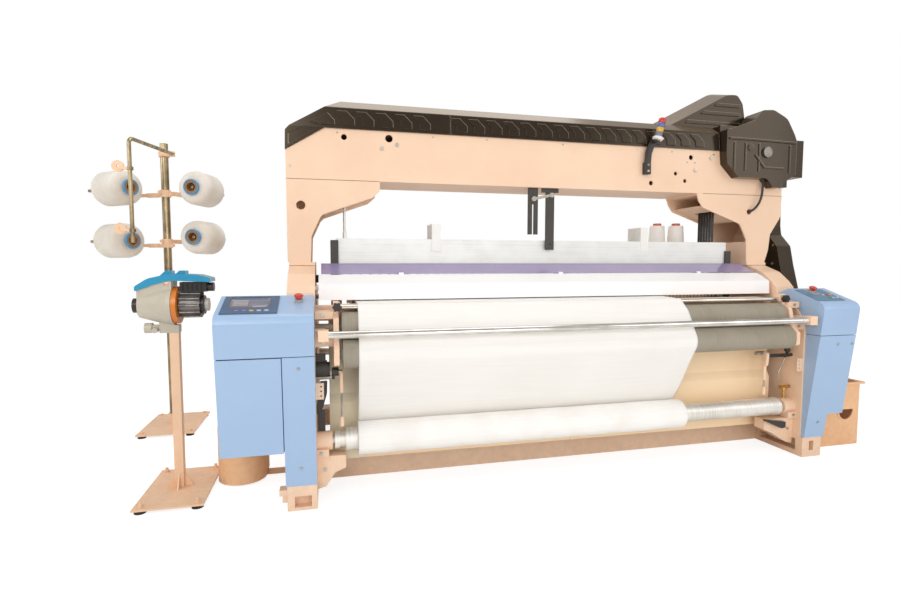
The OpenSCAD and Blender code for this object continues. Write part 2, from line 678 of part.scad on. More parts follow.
// Control panels: screen with keys on the left desk, keypad on the right, collars of the stop buttons
module collar(at) on_desk(at.x, at.y) difference() {
  union() {
    up(seat_gap) cylinder(r = collar_r, h = stop_up - 8);
    up(-12) cylinder(r = collar_r - 4, h = 20);
  }
  up(-13) cylinder(r = collar_bore, h = stop_up + 20);
}
module control_panels() {
  color([0.16, 0.32, 0.48]) in_loom() {
    on_desk(screen_at.x, screen_at.y) difference() {
      union() {
        box(-114, 114, -92, 92, seat_gap, 5);
        box(-103, 103, -77, 77, -24, 1);
      }
      box(-86, 78, -30, 78, 3, 6);
      for (i = [0:4]) box(-60 + i * 30, -40 + i * 30, -74, -60, 4, 6);
    }
    on_desk(keys_at.x, keys_at.y) difference() {
      box(-92, 92, -76, 84, seat_gap, 4);
      translate([stop_right.x - keys_at.x, (stop_right.y - keys_at.y) / cos(desk_slope),
        -1]) cylinder(r = collar_r + 1, h = 8);
      for (i = [0:2], j = [0:1]) translate([20 + i * 26 - 4 * j, -44 + j * 40, 3]) cylinder(r = 9, h = 2);
    }
    collar(stop_left);
    collar(stop_right);
  }
}

module right_hood() {
  color(box_blue) in_loom() difference() {
    desk_hood(right_in, right_out);
    stop_bore(stop_right);
    mirror([1, 0, 0]) frame_room();
  }
}

// Lower right cover: a shell with a stepped outer edge
step_x = right_in + 137;
step_z = 246;
module right_cover_solid(in, open) {
  along_x(right_in + in, right_out - in) polygon([[cover_front(step_z) + in, step_z + in],
    [cover_front(hood_seam - 2) + in, hood_seam - 2 - in], [desk_rear + open, hood_seam - 2 - in],
    [desk_rear + open, bin_h + 40 + in], [bin_y.x - 22 + open, bin_h + 40 + in], [bin_y.x - 22 + open,
      step_z + in]]);
  along_x(right_in + in, step_x - in) polygon([[in, foot_h + seat_gap - open],
    [cover_front(step_z + 20) + in, step_z + 20], [front_edge - nose_clear + open, step_z + 20],
    [front_edge - nose_clear + open, foot_h + seat_gap - open]]);
}
module right_cover() {
  color(box_blue) in_loom() difference() {
    right_cover_solid(0, 0);
    right_cover_solid(cover_t, 1);
    box(right_in - 10, frame_outer + 3, front_edge - nose_clear, desk_rear + 20, step_z - 10,
      hood_seam + 10);
  }
}

// Emergency stop buttons: a mushroom on a stem in the bore of its collar
module stop_button() {
  color([0.85, 0.10, 0.10]) {
    up(-18) cylinder(r = stop_stem_r, h = stop_up + 18);
    up(stop_up - e) cylinder(r1 = stop_r - 4, r2 = stop_r, h = 8);
    up(stop_up + 8 - 2 * e) cylinder(r1 = stop_r, r2 = stop_r - 7, h = 7);
  }
}
module stop_button_left() in_loom() on_desk(stop_left.x, stop_left.y) stop_button();
module stop_button_right() in_loom() on_desk(stop_right.x, stop_right.y) stop_button();

// Splash cover over the reed: folded sheet between the frames, with end plates and lugs on the frames
splash_half = frame_inner - 17;
splash_low = [251, 922];
splash_fold = [257, 998];
splash_top = [350, 1044];
sheet = 3;
flap_hinge = splash_top + [4, 4];
flap_pin_r = 3;
knuckle_r = 6;
knuckle_w = 24;
knuckles = [-900, 0, 900];
module splash_cover() {
  color(white) in_loom() {
    for (x = knuckles) difference() {
      x_rod(flap_hinge, knuckle_r, x - knuckle_w / 2, x + knuckle_w / 2);
      x_rod(flap_hinge, flap_pin_r + run_fit, x - knuckle_w, x + knuckle_w);
    }
    along_x(-splash_half, splash_half) polygon([splash_low, splash_fold, splash_top, splash_top + [0,
      -sheet - 1],
      splash_fold + [sheet, -2], splash_low + [sheet, sheet], splash_low + [22, sheet],
        splash_low + [22, 0]]);
    both_sides() {
      along_x(splash_half - sheet, splash_half) polygon([splash_low, splash_fold, splash_top, [350,
        960], [300, 922]]);
      box(splash_half - e, frame_inner, 300, 330, 970, 990);
    }
  }
}

// Window flap behind the splash cover, with hinge pins in the knuckles of the cover
flap_back = [478, 1100];
flap_half = 1306;
module window_flap() {
  color([0.55, 0.50, 0.75, 0.75]) in_loom() {
    difference() {
      along_x(-flap_half, flap_half) polygon([flap_hinge + [2, -sheet / 2], flap_back + [0, -sheet / 2],
        flap_back + [0, sheet / 2], flap_hinge + [2, sheet / 2]]);
      for (x = knuckles) x_rod(flap_hinge, knuckle_r + 1, x - knuckle_w / 2 - 1, x + knuckle_w / 2 + 1);
    }
    for (x = knuckles) x_rod(flap_hinge, flap_pin_r, x - 40, x + 40);
  }
}

// Breast beam behind the take-up roller, with the cloth support plate and the panels below it
panel_y = 206;
module breast_beam() {
  color(peach) in_loom() {
    difference() {
      box(-frame_inner, frame_inner, 180, 250, 830, 900);
      box(-frame_inner - e, frame_inner + e, 186, 244, 836, 894);
    }
    along_x(-1218, 1218) polygon([[120, 896], [126, 904], [250, 904], [250, 900 - e], [128, 900 - e],
      [122, 894]]);
    both_sides() along_x(8 - e, frame_inner - 60) polygon([[panel_y + 4,
      830 + e],
      [panel_y + 4, 470], [panel_y - 16, 430], [panel_y - 16, 150], [panel_y - 20, 150], [panel_y - 20,
        431],
      [panel_y, 471], [panel_y, 830 + e]]);
    box(-8, 8, panel_y - 24, panel_y - 6, 150, 430);
    box(-8, 8, panel_y - 10, panel_y + 6, 430 - e, 830 + e);
  }
}

// Handrail and cloth guide bar, ground steel seated in the blocks and brackets
module front_rails() {
  color(steel) in_loom() {
    difference() {
      x_rod(handrail_axis, handrail_d / 2, -rail_end, rail_end);
      x_rod(handrail_axis, handrail_d / 2 - 3, -rail_end - e, rail_end + e);
    }
    x_rod(guide_axis, guide_r, -bracket_x - bracket_t, bracket_x + bracket_t);
  }
}

module roller(axis, r, half, reach, neck) {
  x_rod(axis, r, -half, half);
  x_rod(axis, neck, -half - 6, half + 6);
  x_rod(axis, shaft_r, -reach, reach);
}
module take_up_roller() color(rubber_grey) in_loom() roller(take_up_axis, take_up_r, roller_half,
  shaft_deep - 4, 40);
module press_roller() color(rubber_grey) in_loom()
  roller(press_axis, press_r, roller_half - 2, bracket_x + bracket_t - 2, 34);

// Cloth roller: an aluminium tube with end collars, a neck and a shaft
module cloth_roller() {
  color([0.82, 0.83, 0.84]) in_loom() {
    x_rod(cloth_axis, cloth_tube_r, -1204, 1240);
    x_rod(cloth_axis, cloth_tube_r + 3, -1204, -cloth_left - 2);
    x_rod(cloth_axis, cloth_tube_r + 2, 1216, 1240);
    x_rod(cloth_axis, 34, -1232, -1204 + e);
    x_rod(cloth_axis, 41, -1254, -1232 + e);
    x_rod(cloth_axis, shaft_r, -shaft_deep + 4, 1238);
    // Right journal, screwed up to the end of the tube
    x_rod(cloth_axis, shaft_r, 1240 + seat_gap, shaft_deep - 4);
  }
}
module cloth_roll() {
  color(white) in_loom() difference() {
    x_rod(cloth_axis, cloth_roll_r, -cloth_left, -cloth_left + cloth_w);
    x_rod(cloth_axis, cloth_tube_r, -cloth_left - e, -cloth_left + cloth_w + e);
  }
}

// Cloth from the fell over the guide bar, down the front of the rollers and onto the back of the roll
lay = cloth_t / 2;
off = seat_gap + lay;
cloth_start = [300, guide_axis.y + guide_r + off + 4];
turn_1 = 360 + tangent_angle(guide_axis, guide_r + off, take_up_axis, take_up_r + off, -1);
turn_2 = 360 + tangent_angle(take_up_axis, take_up_r + off, press_axis, press_r + off, -1);
turn_3 = 360 + tangent_angle(press_axis, press_r + off, cloth_axis, -cloth_roll_r - off, -1);
function band_turn(c, r, a0, a1, n) = [for (i = [0:n]) [c, r, a0 + (a1 - a0) * i / n]];
cloth_turns = concat(band_turn(guide_axis, guide_r + off, 90, turn_1, 5),
  band_turn(take_up_axis, take_up_r + off, turn_1, turn_2, 3), band_turn(press_axis, press_r + off,
    turn_2, turn_3, 6),
  band_turn(cloth_axis, -cloth_roll_r - off, turn_3, turn_3 - 30, 5));
function turn_edge(turns, out) = [for (t = turns) t[0] + (t[1] + out) * [cos(t[2]), sin(t[2])]];
function reversed(list) = [for (i = [len(list) - 1:-1:0]) list[i]];
module cloth() {
  color(white) in_loom() along_x(-cloth_left, -cloth_left + cloth_w) polygon(concat([cloth_start + [0,
    lay]],
    turn_edge(cloth_turns, lay), reversed(turn_edge(cloth_turns, -lay)), [cloth_start - [0, lay]]));
}

// Linkage of the press roller: crank arms on short cross shafts and link rods with ball ends
link_axis = [96, 577];
link_x = 1150;
link_low = 352;
module link_rod(x, top, low) {
  translate([x, link_axis.x, low + 20]) cylinder(r = 5, h = top - low - 30);
  translate([x, link_axis.x, low]) cylinder(r = 10, h = 44);
  translate([x, link_axis.x, top - 110]) cylinder(r = 10, h = 94);
}
module press_linkage() {
  color(steel) in_loom() {
    // Right: ear, bar to the frame with a ball knob, link rod and a thin bent rod
    along_x(link_x - 9, link_x + 9) polygon(rounded([[72, 601, 20], [80, 517, 10], [112, 517, 10],
      [120, 601, 20]]));
    link_rod(link_x, link_axis.y - 30, link_low);
    x_rod(link_axis + [0, 16], 10, link_x - 66, link_x - 9 + e);
    box(link_x + 9 - e, 1316, link_axis.x - 8, link_axis.x + 8, link_axis.y - 12, link_axis.y + 6);
    x_rod(link_axis + [0, -3], 9, 1312, frame_inner);
    translate([1304, link_axis.x, link_axis.y + 28]) sphere(r = 17);
    translate([1304, link_axis.x, link_axis.y]) cylinder(r = 7, h = 20);
    translate([1246, link_axis.x, 470]) rotate([0, 27, 0]) cylinder(r = 4, h = 111);
    translate([1246, link_axis.x, 436]) cylinder(r = 4, h = 37);
    translate([1246, link_axis.x, 471]) sphere(r = 5);
    // Left: rod from the frame to a clamp knob, and the link rod
    x_rod(link_axis, 11, -frame_inner, -1262);
    x_rod(link_axis + [0, 24], 20, -1262, -1232);
    x_rod(link_axis + [0, 24], 8, -1262, -link_x - 66);
    box(-1270, -1250, link_axis.x - 8, link_axis.x + 8, link_axis.y - 10, link_axis.y + 30);
    link_rod(-link_x - 70, link_axis.y + 36, link_low - 10);
    // Plates with three holes on the frames
    both_sides() difference() {
      box(1300, frame_inner, 22, 28, 492, 566);
      for (z = [508, 529, 550]) y_rod(1312, z, 4, 20, 30);
    }
    // Curved arm and flat bar behind the left column
    along_y(100, 118) polygon(rounded([[-frame_inner, 400, 2], [-1306, 430, 60], [-1286, 500, 60],
      [-1284, 556, 2], [-1316, 556, 2], [-1318, 500, 40], [-frame_inner, 446, 2]]));
    box(-1330, -1296, 104, 114, cloth_axis.y + cup_r + seat_gap, 421);
    // Lever under the right end of the cloth roller
    along_y(foot_bracket_y - 22, foot_bracket_y) polygon([[1128, 216], [1266, 196], [1266, 164],
      [1240, 160], [1128, 208]]);
  }
}

// Motors: the take-up motor at the left column, the main motor on the right side frame
main_motor = [960, 310];
module drive_motors() {
  color(black) in_loom() {
    x_rod([75, 622], 38, -frame_inner, -1284);
    x_rod([75, 622], 30, -1284 - e, -1272);
    box(-frame_inner, -1290, 60, 90, 656, 690);
    x_rod(main_motor, 108, frame_inner + web_t, frame_inner + web_t + 290);
    for (i = [0:8]) x_rod(main_motor, 116, frame_inner + 60 + i * 26, frame_inner + 68 + i * 26);
    x_rod(main_motor, 90, frame_inner + web_t + 290 - e, frame_inner + web_t + 340);
    box(frame_outer + 20, frame_outer + 120, main_motor.x - 50, main_motor.x + 50, main_motor.y + 90,
      main_motor.y + 150);
  }
}

// Star knobs that clamp the guide bar
knob_y = knob_boss.y - 30;
function star(r, lobe) = [for (a = [0:7.5:352.5]) (r + lobe * cos(6 * a)) * [cos(a), sin(a)]];
module star_knob() {
  color(black) up(knob_z) {
    along_y(knob_y, knob_y + 18) polygon(star(19.5, 2.5));
    y_rod(0, 0, 11, knob_y - 3, knob_y + 25);
    y_rod(0, 0, knob_stem_r, knob_y, guide_axis.x - guide_r - 0.5);
  }
}
module star_knob_left() in_loom() translate([-knob_boss.x - 14, 0, 0]) star_knob();
module star_knob_right() in_loom() translate([knob_boss.x + 14, 0, 0]) star_knob();

// Clamp screw with a cross bar, over the right bearing of the cloth roller
module t_handle() {
  color([0.75, 0.62, 0.30]) in_loom() {
    translate([handle_x, cloth_axis.x, cloth_axis.y + shaft_r + 1]) cylinder(r = handle_r, h = 92);
    x_rod([cloth_axis.x, cloth_axis.y + shaft_r + 90], handle_r + 1, handle_x - 36, handle_x + 36);
  }
}

// Heald frames: two rails and two stays round a row of healds, with lifting rods on top
heald_left = -1226;
heald_right = 1212;
heald_low = heald_top - heald_h;
rail_top_h = 145;
rail_low_h = 80;
eye_z = 945;
heald_first = -1150;
heald_step = (heald_right - 62 - heald_first) / (heald_wires - 1);
module heald_frame(n) {
  color([0.85, 0.85, 0.84]) in_loom() translate([0, heald_y + (n - 1) * heald_pitch, 0]) {
    difference() {
      union() {
        box(heald_left, heald_right, 0, heald_t, heald_top - rail_top_h, heald_top);
        box(heald_left, heald_right, 0, heald_t, heald_low, heald_low + rail_low_h);
      }
      box(heald_left - e, heald_right + e, -e, 1, heald_top - 70, heald_top - 66);
    }
    for (x = [heald_left, heald_right - 25]) box(x, x + 25, 0, heald_t, heald_low, heald_top);
    along_y(heald_t / 2 - 1, heald_t / 2 + 1) for (i = [0:heald_wires - 1])
      translate([heald_first + i * heald_step, 0]) {
      translate([-1, heald_low + 60]) square([2, heald_h - 140]);
      translate([-3, eye_z - 8]) square([6, 16]);
    }
    for (x = [-708, 593]) box(x, x + 50, -5, heald_t + 5, heald_top - 65, heald_top + 85);
    translate([hanger_left, heald_t / 2, heald_top - e]) cylinder(r = 5, h = 325);
    translate([hanger_left, heald_t / 2, heald_top - e]) cylinder(r = 8, h = 40);
    box(hanger_right - 8, hanger_right + 8, heald_t / 2 - 2, heald_t / 2 + 2, heald_top - e,
      heald_top + 325);
  }
}
module heald_frame_1() heald_frame(1);
module heald_frame_2() heald_frame(2);
module heald_frame_3() heald_frame(3);
module heald_frame_4() heald_frame(4);
module heald_frame_5() heald_frame(5);
module heald_frame_6() heald_frame(6);

// Guides of the heald frames: slotted posts on the side frames, an arm and a fork under the gantry
guide_w = 40;
guide_clear = 0.4;
module guide_post(inner, top) difference() {
  union() {
    box(inner, inner + guide_w, heald_y - 12, heald_y + hanger_reach + 12, 640, top);
    for (z = [700, 1000]) box(inner + guide_w - e, frame_inner, heald_y, heald_y + 60, z, z + 40);
  }
  for (i = [0:heald_count - 1])
    box(inner - e, inner + 14, heald_y + i * heald_pitch - guide_clear,
      heald_y + i * heald_pitch + heald_t + guide_clear, 640 - e, top + e);
}
module frame_guides() {
  color(black) in_loom() {
    guide_post(heald_right + 1 - 12, 1180);
    mirror([1, 0, 0]) guide_post(-heald_left - 10, 1225);
    difference() {
      union() {
        box(-40, 10, heald_y - 26, heald_y - 12, 1180, gantry_z);
        box(-66, 36, heald_y - 26, heald_y - 12, gantry_z - 24, gantry_z);
      }
      y_rod(-15, 1210, 7, heald_y - 30, heald_y);
    }
    along_y(heald_y - 26, heald_y - 12) polygon([[-149, gantry_z], [-149, 1268], [-126, 1268], [-126, 1440],
      [-114, 1440], [-114, 1268], [-91, 1268], [-91, gantry_z]]);
    // Link between the two hanging straps
    along_y(heald_y - 34, heald_y - 26 + e) polygon([[-119, 1462], [-117, 1478], [-10, 1502], [-8, 1486]]);
    for (p = [[-118, 1470], [-9, 1494]]) y_rod(p.x, p.y, 14, heald_y - 38, heald_y - 26 + e);
  }
}

// Sley: rocking shaft with three swords and a hollow beam that carries the reed
sley_y = [412, 452];
sley_z = [850, 892];
sley_half = 1160;
reed_y = [426, 434];
module sley() {
  color([0.60, 0.61, 0.62]) in_loom() difference() {
    union() {
      x_rod(rocking_axis, rocking_r, -shaft_deep + 4, shaft_deep - 4);
      for (x = [-900, 0, 900]) {
        along_x(x - 12, x + 12) polygon([[330, 565], [372, 555], [450, sley_z.x + 1], [414, sley_z.x + 1]]);
        x_rod(rocking_axis, 42, x - 20, x + 20);
      }
      box(-sley_half, sley_half, sley_y.x, sley_y.y, sley_z.x, sley_z.y);
    }
    box(-sley_half - e, sley_half + e, reed_y.x - seat_gap, reed_y.y + seat_gap, sley_z.y - 14,
      sley_z.y + e);
    box(-sley_half - e, sley_half + e, sley_y.x + 6, sley_y.y - 6, sley_z.x + 6, sley_z.y - 22);
  }
}

// Reed: two baulks and end pieces round a row of dents
reed_x = [-1150, 1100];
reed_z = [sley_z.y - 14 + seat_gap, 985];
dent_step = (reed_x.y - reed_x.x - 30) / (reed_dents - 1);
module reed() {
  color([0.78, 0.79, 0.80]) in_loom() {
    for (z = [reed_z.x, reed_z.y - 16]) box(reed_x.x, reed_x.y, reed_y.x, reed_y.y, z, z + 16);
    for (x = [reed_x.x, reed_x.y - 10]) box(x, x + 10, reed_y.x, reed_y.y, reed_z.x, reed_z.y);
    along_y(reed_y.x + 2, reed_y.y - 2) for (i = [0:reed_dents - 1])
      translate([reed_x.x + 14 + i * dent_step, reed_z.x + 8]) square([2, reed_z.y - reed_z.x - 16]);
  }
}

// Water pump on the outside of the left frame, with a pipe to the nozzle beside the shed
nozzle = [400, 930];
module water_pump() {
  color(steel) in_loom() {
    box(-1610, -frame_inner - web_t, 330, 450, 520, 640);
    translate([-1540, 390, 640 - e]) cylinder(r = 46, h = 130);
    translate([-1540, 390, 770 - 2 * e]) cylinder(r = 30, h = 40);
    x_rod([390, 560], 30, -1660, -1610 + e);
    x_rod(nozzle, 9, -frame_inner, -1215);
    x_rod(nozzle, 14, -1240, -1215);
    x_rod(nozzle, 4, -1215 - e, -1178);
  }
}

// Warp beam: barrel with wound warp between two flanges
flange_x = 1080;
warp_lay = 1.5;
module warp_beam() {
  color([0.80, 0.80, 0.78]) in_loom() {
    x_rod(warp_axis, warp_r, -flange_x, flange_x);
    both_sides() {
      x_rod(warp_axis, flange_r, flange_x, flange_x + 14);
      x_rod(warp_axis, 110, flange_x + 14 - e, flange_x + 60);
    }
    x_rod(warp_axis, warp_shaft_r, -beam_bore_deep + 4, beam_bore_deep - 4);
  }
}
module back_rest_roller() {
  color(steel) in_loom() {
    x_rod(back_rest_axis, back_rest_r, -1150, 1150);
    x_rod(back_rest_axis, shaft_r, -beam_bore_deep + 4, beam_bore_deep - 4);
  }
}

// Warp sheet from the beam over the back rest to the last heald frame
warp_off = seat_gap + warp_lay / 2;
warp_turn = tangent_angle(back_rest_axis, back_rest_r + warp_off, warp_axis, warp_r + warp_off, 1);
warp_turns = concat(band_turn(back_rest_axis, back_rest_r + warp_off, 90, warp_turn, 6),
  band_turn(warp_axis, warp_r + warp_off, warp_turn, warp_turn - 30, 12));
warp_start = [640, back_rest_axis.y + back_rest_r + warp_off];
module warp_sheet() {
  color(white) in_loom() along_x(-flange_x + 12, flange_x - 12) polygon(concat([warp_start + [0,
    warp_lay / 2]],
    turn_edge(warp_turns, warp_lay / 2), reversed(turn_edge(warp_turns, -warp_lay / 2)),
      [warp_start - [0, warp_lay / 2]]));
}

// Waste tub beside the left foot: round front, cut low, on a flat strip
tub_c = [-1712, 440];
tub_r = 116;
module tub_shape(in) {
  translate([tub_c.x, tub_c.y]) circle(tub_r - in);
  translate([tub_c.x - tub_r + in, tub_c.y]) square([2 * (tub_r - in), 120 - in]);
}
module waste_tub() {
  color(peach) in_loom() {
    difference() {
      up(8) linear_extrude(272) tub_shape(0);
      up(11) linear_extrude(272) tub_shape(3);
      box(tub_c.x - 130, tub_c.x + 130, 300, 400, 150, 300);
    }
    box(-1700, -frame_outer, 455, 520, 0, 8 + e);
    box(-1790, -1700 + e, 400, 520, 0, 8 + e);
  }
}

// Waste bin on the right: folded sheet with a flared rim and a round port
bin_x = [1490, 1870];
bin_y = [110, 300];
bin_h = 385;
module waste_bin() {
  color(peach) in_loom() {
    difference() {
      union() {
        box(bin_x.x, bin_x.y, bin_y.x, bin_y.y, 0, bin_h);
        box(bin_x.x - 2, bin_x.y + 24, bin_y.x - 14, bin_y.y + 14, bin_h - 12, bin_h);
      }
      box(bin_x.x + 3, bin_x.y - 3, bin_y.x + 3, bin_y.y - 3, 3, bin_h + e);
      y_rod(1770, 210, 52, bin_y.x - e, bin_y.x + 3 + e);
    }
    difference() {
      y_rod(1770, 210, 62, bin_y.x - 4, bin_y.x);
      y_rod(1770, 210, 52, bin_y.x - 4 - e, bin_y.x + e);
    }
    intersection() {
      y_rod(1770, 210, 54, bin_y.x - 4, bin_y.x);
      box(1700, 1840, bin_y.x - 4, bin_y.x, 220, 280);
    }
  }
}

// Hose from the dobby housing into the right leg, swept along its hand-set route
hose_sides = 10;
hose_route = [hose_start, [1408, 425, 1600], [1405, 423, 1570], [1400, 421, 1540], [1392, 420, 1510],
  [1380, 420, 1482], [1364, 423, 1458], [1350, 431, 1440], [1340, 444, 1431], [1336, 462, 1428], [1335,
    490, 1428]];
function route_way(i) = unit(hose_route[min(i + 1, len(hose_route) - 1)] - hose_route[max(i - 1, 0)]);
function ring_side(w) = unit(cross(w, [1, 0.2, 0]));
hose_points = [for (i = [0:len(hose_route) - 1]) let (w = route_way(i), u = ring_side(w), v = cross(w, u))
  for (k = [0:hose_sides - 1]) hose_route[i] + hose_r * (u * cos(k * 360 / hose_sides)
    + v * sin(k * 360 / hose_sides))];
hose_rings = len(hose_route);
hose_faces = concat([[for (k = [0:hose_sides - 1]) k]],
  [for (i = [0:hose_rings - 2], k = [0:hose_sides - 1]) let (a = i * hose_sides + k,
    b = i * hose_sides + (k + 1) % hose_sides)
    each [[a, a + hose_sides, b + hose_sides], [a, b + hose_sides, b]]],
  [[for (k = [hose_sides - 1:-1:0]) (hose_rings - 1) * hose_sides + k]]);
module hose() {
  color(steel) in_loom() polyhedron(points = hose_points, faces = hose_faces, convexity = 6);
}

// Screws and bolts seen on the covers, the gantry and the frames
module hex_y(x, z, y, r) translate([x, y, z]) rotate([90, 0, 0]) cylinder(r = r, h = r * 0.6, $fn = 6);
beam_screws = [[-1215, 1775, 5], [-1451, 1597, 7], [-985, 1705, 11], [-905, 1728, 11], [-710, 1778, 5],
  [-406, 1781, 5], [49, 1780, 5],
  [529, 1776, 5], [764, 1776, 6], [872, 1716, 5], [926, 1716, 5], [929, 1670, 11], [1039, 1747, 11],
    [1057, 1772, 6]];
module bolts() {
  color(zinc) in_loom() {
    for (s = beam_screws) hex_y(s.x, s.y, gantry_y, s[2]);
    // Tower bolts, leg bolts and plate bolts
    for (s = [[585, 1682], [587, 1647]]) hex_y(s.x, s.y, tower_y - 8, 6);
    for (x = [-1440, -1400, 1375, 1430], y = [gantry_y + 30, gantry_rear - 30])
      translate([x, y, leg_foot]) cylinder(r = 12, h = 9, $fn = 6);
    // Screws of the lower covers
    for (s = [[-1404, 653], [-1402, 196], [right_in + 130, 654], [right_in + 228, 655], [right_in + 80,
      201]])
      translate([s.x, cover_front(s.y), s.y]) rotate([90 - cover_lean, 0, 0]) cylinder(r = 7, h = 4,
        $fn = 6);
    // Bolts of the bearing brackets and foot brackets
    both_sides() {
      hex_y(1300, 868, 60, 9);
      hex_y(1300, 750, 26, 9);
      hex_y(1316, cloth_axis.y - 45, cloth_axis.x - 50, 9);
      hex_y(1300, 150, foot_bracket_y, 9);
    }
    for (z = [1102, 1223]) translate([drive_x, 500, z]) rotate([0, -90, 0]) cylinder(r = 9, h = 6, $fn = 6);
  }
}

// Creel: base plate with feet and socket, and clamps on the post with bent arms to the packages' pegs
creel_at = [-2297, 1450];
plate_z = 16;
left_pack = [-2450, 1300];
right_pack = [-2113, 1310];
left_turn = 142;
right_turn = 73;
peg_l = 420;
peg_r = 10;
arm_at = 300;
arm_out = 150;
left_z = [1245, 1575];
right_z = [1272, 1590];
module at_pack(p, z, turn) translate([p.x, p.y, z]) rotate([0, 0, turn]) rotate([0, 90, 0]) children();
module creel_arm(p, z, turn, side) {
  seat = p + arm_at * [cos(turn), sin(turn)];
  corner = seat + side * arm_out * [-sin(turn), cos(turn)];
  way = atan2(corner.y - creel_at.y, corner.x - creel_at.x);
  arm_z = z - peg_r - 14;
  translate([creel_at.x, creel_at.y, arm_z]) difference() {
    union() {
      up(-16) cylinder(r = creel_post_d / 2 + 9, h = 30);
      rotate([0, 0, way]) {
        translate([creel_post_d / 2 + 4, -8, -10]) cube([norm(corner - creel_at) - creel_post_d / 2, 16, 20]);
        translate([60, -14, -14]) cube([80, 28, 26]);
        translate([-creel_post_d / 2 - 26, -10, -10]) cube([24, 20, 18]);
      }
    }
    up(-20) cylinder(r = creel_post_d / 2, h = 40);
  }
  translate([corner.x, corner.y, arm_z]) rotate([0, 0, turn - side * 90]) {
    up(-12) cylinder(r = 13, h = 24);
    translate([0, -8, -10]) cube([arm_out - 8, 16, 20]);
    translate([arm_out - 18, -16, -14]) cube([36, 32, 28]);
  }
}
module creel_base() {
  color(peach) in_loom() difference() {
    union() {
      box(-2460, -2120, 1210, 1690, plate_z, plate_z + 10);
      for (x = [-2430, -2150], y = [1240, 1660]) translate([x, y, 0]) {
        cylinder(r = 24, h = 8);
        cylinder(r = 8, h = plate_z + e);
        up(plate_z + 10 - e) cylinder(r = 12, h = 10, $fn = 6);
      }
      translate([creel_at.x, creel_at.y, plate_z + 10 - e]) cylinder(r = creel_post_d / 2 + 8, h = 70);
      for (z = left_z) creel_arm(left_pack, z, left_turn, -1);
      for (z = right_z) creel_arm(right_pack, z, right_turn, 1);
      // Clamp of the guide rod
      translate([creel_at.x, creel_at.y, creel_h - 86]) cylinder(r = creel_post_d / 2 + 9, h = 34);
      box(creel_at.x - 12, creel_at.x + 70, creel_at.y - 44, creel_at.y - 18, creel_h - 84, creel_h - 54);
    }
    translate([creel_at.x, creel_at.y, plate_z + 10]) cylinder(r = creel_post_d / 2, h = creel_h);
    rod_path(rod_r);
  }
}
module creel_post() {
  color(zinc) in_loom() translate([creel_at.x, creel_at.y, plate_z + 10]) difference() {
    cylinder(r = creel_post_d / 2, h = creel_h - plate_z - 10);
    up(6) cylinder(r = creel_post_d / 2 - 3, h = creel_h);
  }
}

// Guide rod: forward from its clamp, bent down, with two eyelet discs
rod_r = 11;
rod_front = [-2354, 990];
rod_back = [creel_at.x + 62, creel_at.y - 31];
rod_z = creel_h - 69;
bend_r = 34;
module rod_path(r) {
  way = atan2(rod_back.y - rod_front.y, rod_back.x - rod_front.x);
  span = norm(rod_back - rod_front);
  translate([rod_front.x, rod_front.y, 0]) rotate([0, 0, way]) {
    translate([bend_r, 0, rod_z]) rotate([0, 90, 0]) cylinder(r = r, h = span - bend_r);
    translate([bend_r, 0, rod_z - bend_r]) rotate([90, 0, 0]) rotate([0, 0, 90])
      rotate_extrude(angle = 90) translate([bend_r, 0]) circle(r);
    up(1220) cylinder(r = r, h = rod_z - bend_r - 1220);
  }
}
module creel_guide_rod() {
  color(zinc) in_loom() {
    rod_path(rod_r);
    for (z = [1290, 1640]) translate([rod_front.x, rod_front.y, z]) {
      up(-9) cylinder(r = rod_r + 7, h = 18);
      translate([-62, -7, -7]) cube([56, 14, 14]);
      translate([-62, 8, 10]) rotate([90, 0, 0]) difference() {
        cylinder(r = 32, h = 10);
        up(-e) cylinder(r = 7, h = 11);
      }
    }
  }
}

// Weft packages on their pegs, and the two spools of catch cord behind the healds
module yarn_package() {
  difference() {
    union() {
      up(22) cylinder(r1 = pack_d / 2 - 24, r2 = pack_d / 2, h = 40);
      up(62 - e) cylinder(r = pack_d / 2, h = pack_l - 90);
      up(pack_l - 28 - e) cylinder(r1 = pack_d / 2, r2 = pack_d / 2 - 16, h = 28);
      cylinder(r = 40, h = pack_l + 12);
    }
    up(-e) cylinder(r = 27, h = 40);
    up(40 - 2 * e) cylinder(r = peg_r + seat_gap, h = pack_l);
  }
  up(20) cylinder(r = peg_r, h = peg_l - 20);
}
spools = [[872, 640], [992, 610]];
spool_z = 1240;
shelf_t = 12;
shelf_z = seat_z - shelf_t - 16;
module yarn_packages() {
  color(white) in_loom() {
    for (z = left_z) at_pack(left_pack, z, left_turn) yarn_package();
    for (z = right_z) at_pack(right_pack, z, right_turn) yarn_package();
    for (s = spools) translate([s.x, s.y + 90, spool_z]) {
      cylinder(r1 = 52, r2 = 46, h = 110);
      up(110 - e) cylinder(r = 26, h = 16);
      up(shelf_z + shelf_t - spool_z) cylinder(r = 8, h = spool_z - shelf_z - shelf_t + e);
    }
    box(820, frame_inner, 690, 770, shelf_z, shelf_z + shelf_t);
  }
}

